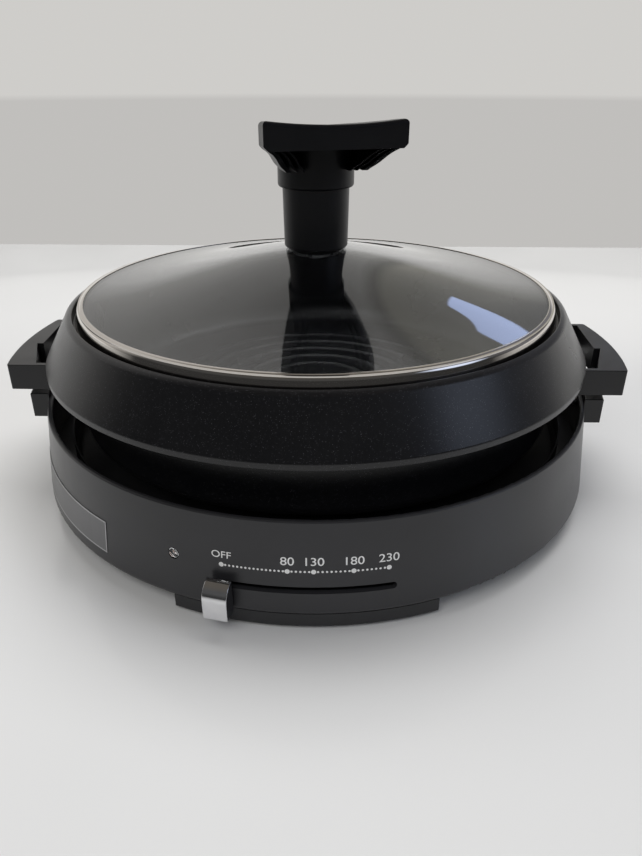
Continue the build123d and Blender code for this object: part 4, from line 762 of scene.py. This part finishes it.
TABLE_WHITE, table_tree, table_shader, table_where = plain_finish("table_white", TABLE_TONE, TABLE_GLOSS[0])
table_scales = {"Vector": table_where, "Grain Scale": TABLE_GRAIN, "Patch Scale": TABLE_PATCH}
table_skin = add(table_tree, "ShaderNodeGroup", table_scales, node_tree=MOULDING_GRAIN)
table_gloss = scale_value(table_tree, table_skin.outputs["Patch"], *TABLE_GLOSS)
table_tree.links.new(table_gloss, table_shader.inputs["Roughness"])
table_mesh = bpy.data.meshes.new("table")
slab = table_slab()
slab.to_mesh(table_mesh)
slab.free()
table_mesh.materials.append(TABLE_WHITE)
table = bpy.data.objects.new("table", table_mesh)
bpy.context.scene.collection.objects.link(table)
table_mesh.shade_smooth()
table_mesh.set_sharp_from_angle(angle=math.radians(TABLE_SHARP_ANGLE))


# Studio: a large soft lamp above the back of the table and a weaker one in front of it.
# Gloss mirrors a room: a light wall behind, a dark front, a brownish ceiling and two windows.
# The camera itself sees only the plain light wall.

def soft_lamp(name, place, aim, width, height, watts):
    """A rectangular soft lamp at a place, facing a point, that gloss doesn't mirror."""
    light = bpy.data.lights.new(name, "AREA")
    light.shape = "RECTANGLE"
    light.size, light.size_y = width, height
    light.energy = watts
    lamp = bpy.data.objects.new(name, light)
    lamp.location = place
    lamp.rotation_euler = (Vector(aim) - Vector(place)).to_track_quat("-Z", "Y").to_euler()
    lamp.visible_glossy = False
    bpy.context.scene.collection.objects.link(lamp)


soft_lamp("overhead", (0.1, 0.45, 1.3), (0, 0.1, 0), 1.3, 0.8, 14)
soft_lamp("front_fill", (-0.3, -1.1, 1.2), (0, -0.1, 0.05), 1.2, 0.8, 9)

WALL_SPAN = 0.5                         # sideways share of the room that the wall's tones cover
WALL_TONES = (
    (0.0, (0.60, 0.585, 0.565)),
    (0.66, (0.62, 0.605, 0.58)),
    (0.705, (0.30, 0.29, 0.26)),
    (0.735, (0.52, 0.50, 0.43)),
    (0.86, (0.46, 0.45, 0.42)),
    (0.90, (0.20, 0.20, 0.22)),
    (1.0, (0.20, 0.20, 0.22)),
)
WALL_EDGE = (-0.10, 0.30)               # each edge is a fade from its first value to its second
WALL_FOOT_TONE = (0.85, 0.84, 0.82)     # lit by the table before it
WALL_FOOT_EDGE = (0.18, 0.30)
FRONT_RISE = (0.15, 0.40)
FRONT_GREY = (0.04, 0.08)
CEILING_TONE = (0.10, 0.09, 0.078)
CEILING_EDGE = (0.62, 0.90)
WINDOW_TONE = (1.9, 2.3, 3.5)
WINDOW_SIDEWAYS = 0.3615
WINDOW_SIDE_EDGE = (0.025, 0.022)       # measured from the window's middle
WINDOW_SLANTED = 0.86
WINDOW_SLANT_EDGE = (0.048, 0.042)
SIDE_WINDOW_TONE = (1.1, 1.25, 1.6)
SIDE_WINDOW_WAY = (0.83, -0.31, 0.456)
SIDE_WINDOW_EDGE = (0.95, 0.985)
LEAST_AHEAD = 0.02                      # keeps slopes finite beside and before the table
SEEN_WALL_FOOT = (0.53, 0.52, 0.505)
SEEN_WALL = (0.62, 0.61, 0.59)
SEEN_WALL_EDGE = (-0.035, -0.028)


def mirrored_wall(tree, sideways, upwards):
    """The wall behind the table with its shaded corner, cream strip, dim side wall and slanted window."""
    wall = add(tree, "ShaderNodeValToRGB", {"Fac": between(tree, sideways, -WALL_SPAN, WALL_SPAN)})
    stops = wall.color_ramp.elements
    for stop, (position, tone) in zip((stops[0], stops[1]), (WALL_TONES[0], WALL_TONES[-1])):
        stop.position, stop.color = position, (*tone, 1)
    for position, tone in WALL_TONES[1:-1]:
        stops.new(position).color = (*tone, 1)
    across = between(tree, off_middle(tree, sideways, WINDOW_SIDEWAYS), *WINDOW_SIDE_EDGE)
    slant = off_middle(tree, maths(tree, "ADD", sideways, upwards), WINDOW_SLANTED)
    window = maths(tree, "MULTIPLY", across, between(tree, slant, *WINDOW_SLANT_EDGE))
    with_window = blend_colour(tree, window, wall.outputs["Color"], WINDOW_TONE)
    return blend_colour(tree, between(tree, upwards, *WALL_FOOT_EDGE), WALL_FOOT_TONE, with_window)


def mirrored_room(tree, way):
    """The room by direction, with its dark front, ceiling and second window; gives colour and height."""
    around = add(tree, "ShaderNodeSeparateXYZ", {0: way})
    ahead = maths(tree, "MAXIMUM", around.outputs["Y"], LEAST_AHEAD)
    sideways = maths(tree, "DIVIDE", around.outputs["X"], ahead)
    upwards = maths(tree, "DIVIDE", around.outputs["Z"], ahead)
    front = scale_value(tree, between(tree, around.outputs["Z"], *FRONT_RISE), *FRONT_GREY)
    behind = between(tree, around.outputs["Y"], *WALL_EDGE)
    room = blend_colour(tree, behind, front, mirrored_wall(tree, sideways, upwards))
    room = blend_colour(tree, between(tree, around.outputs["Z"], *CEILING_EDGE), room, CEILING_TONE)
    facing = add(tree, "ShaderNodeVectorMath", {0: way, 1: SIDE_WINDOW_WAY}, operation="DOT_PRODUCT")
    pane = between(tree, facing.outputs["Value"], *SIDE_WINDOW_EDGE)
    return blend_colour(tree, pane, room, SIDE_WINDOW_TONE), around.outputs["Z"]


world = bpy.data.worlds.new("studio")
bpy.context.scene.world = world
world.use_nodes = True
sky = world.node_tree
background = sky.nodes["Background"]
mirrored, height = mirrored_room(sky, sky.nodes.new("ShaderNodeTexCoord").outputs["Generated"])
plain_wall = blend_colour(sky, between(sky, height, *SEEN_WALL_EDGE), SEEN_WALL_FOOT, SEEN_WALL)
ray = sky.nodes.new("ShaderNodeLightPath")
straight = maths(sky, "MAXIMUM", ray.outputs["Is Camera Ray"], ray.outputs["Is Transmission Ray"])
sky.links.new(blend_colour(sky, straight, mirrored, plain_wall), background.inputs["Color"])
background.inputs["Strength"].default_value = 1.0


# Camera: at the eye height of someone who stands before the table and looks down at the pot.
# It has no shift and no depth of field.

CAMERA_PLACE = (0.0126, -0.3799, 0.2157)
CAMERA_DOWN = 27.44
CAMERA_TURN = 1.5
CAMERA_LENS = 29.1
SENSOR_WIDTH = 36

camera_data = bpy.data.cameras.new("camera")
camera_data.lens = CAMERA_LENS
camera_data.sensor_width = SENSOR_WIDTH
camera = bpy.data.objects.new("camera", camera_data)
camera.location = CAMERA_PLACE
camera.rotation_euler = (math.radians(90 - CAMERA_DOWN), 0, math.radians(CAMERA_TURN))
bpy.context.scene.collection.objects.link(camera)
bpy.context.scene.camera = camera
bpy.context.scene.view_settings.view_transform = "Standard"

bpy.context.view_layer.update()
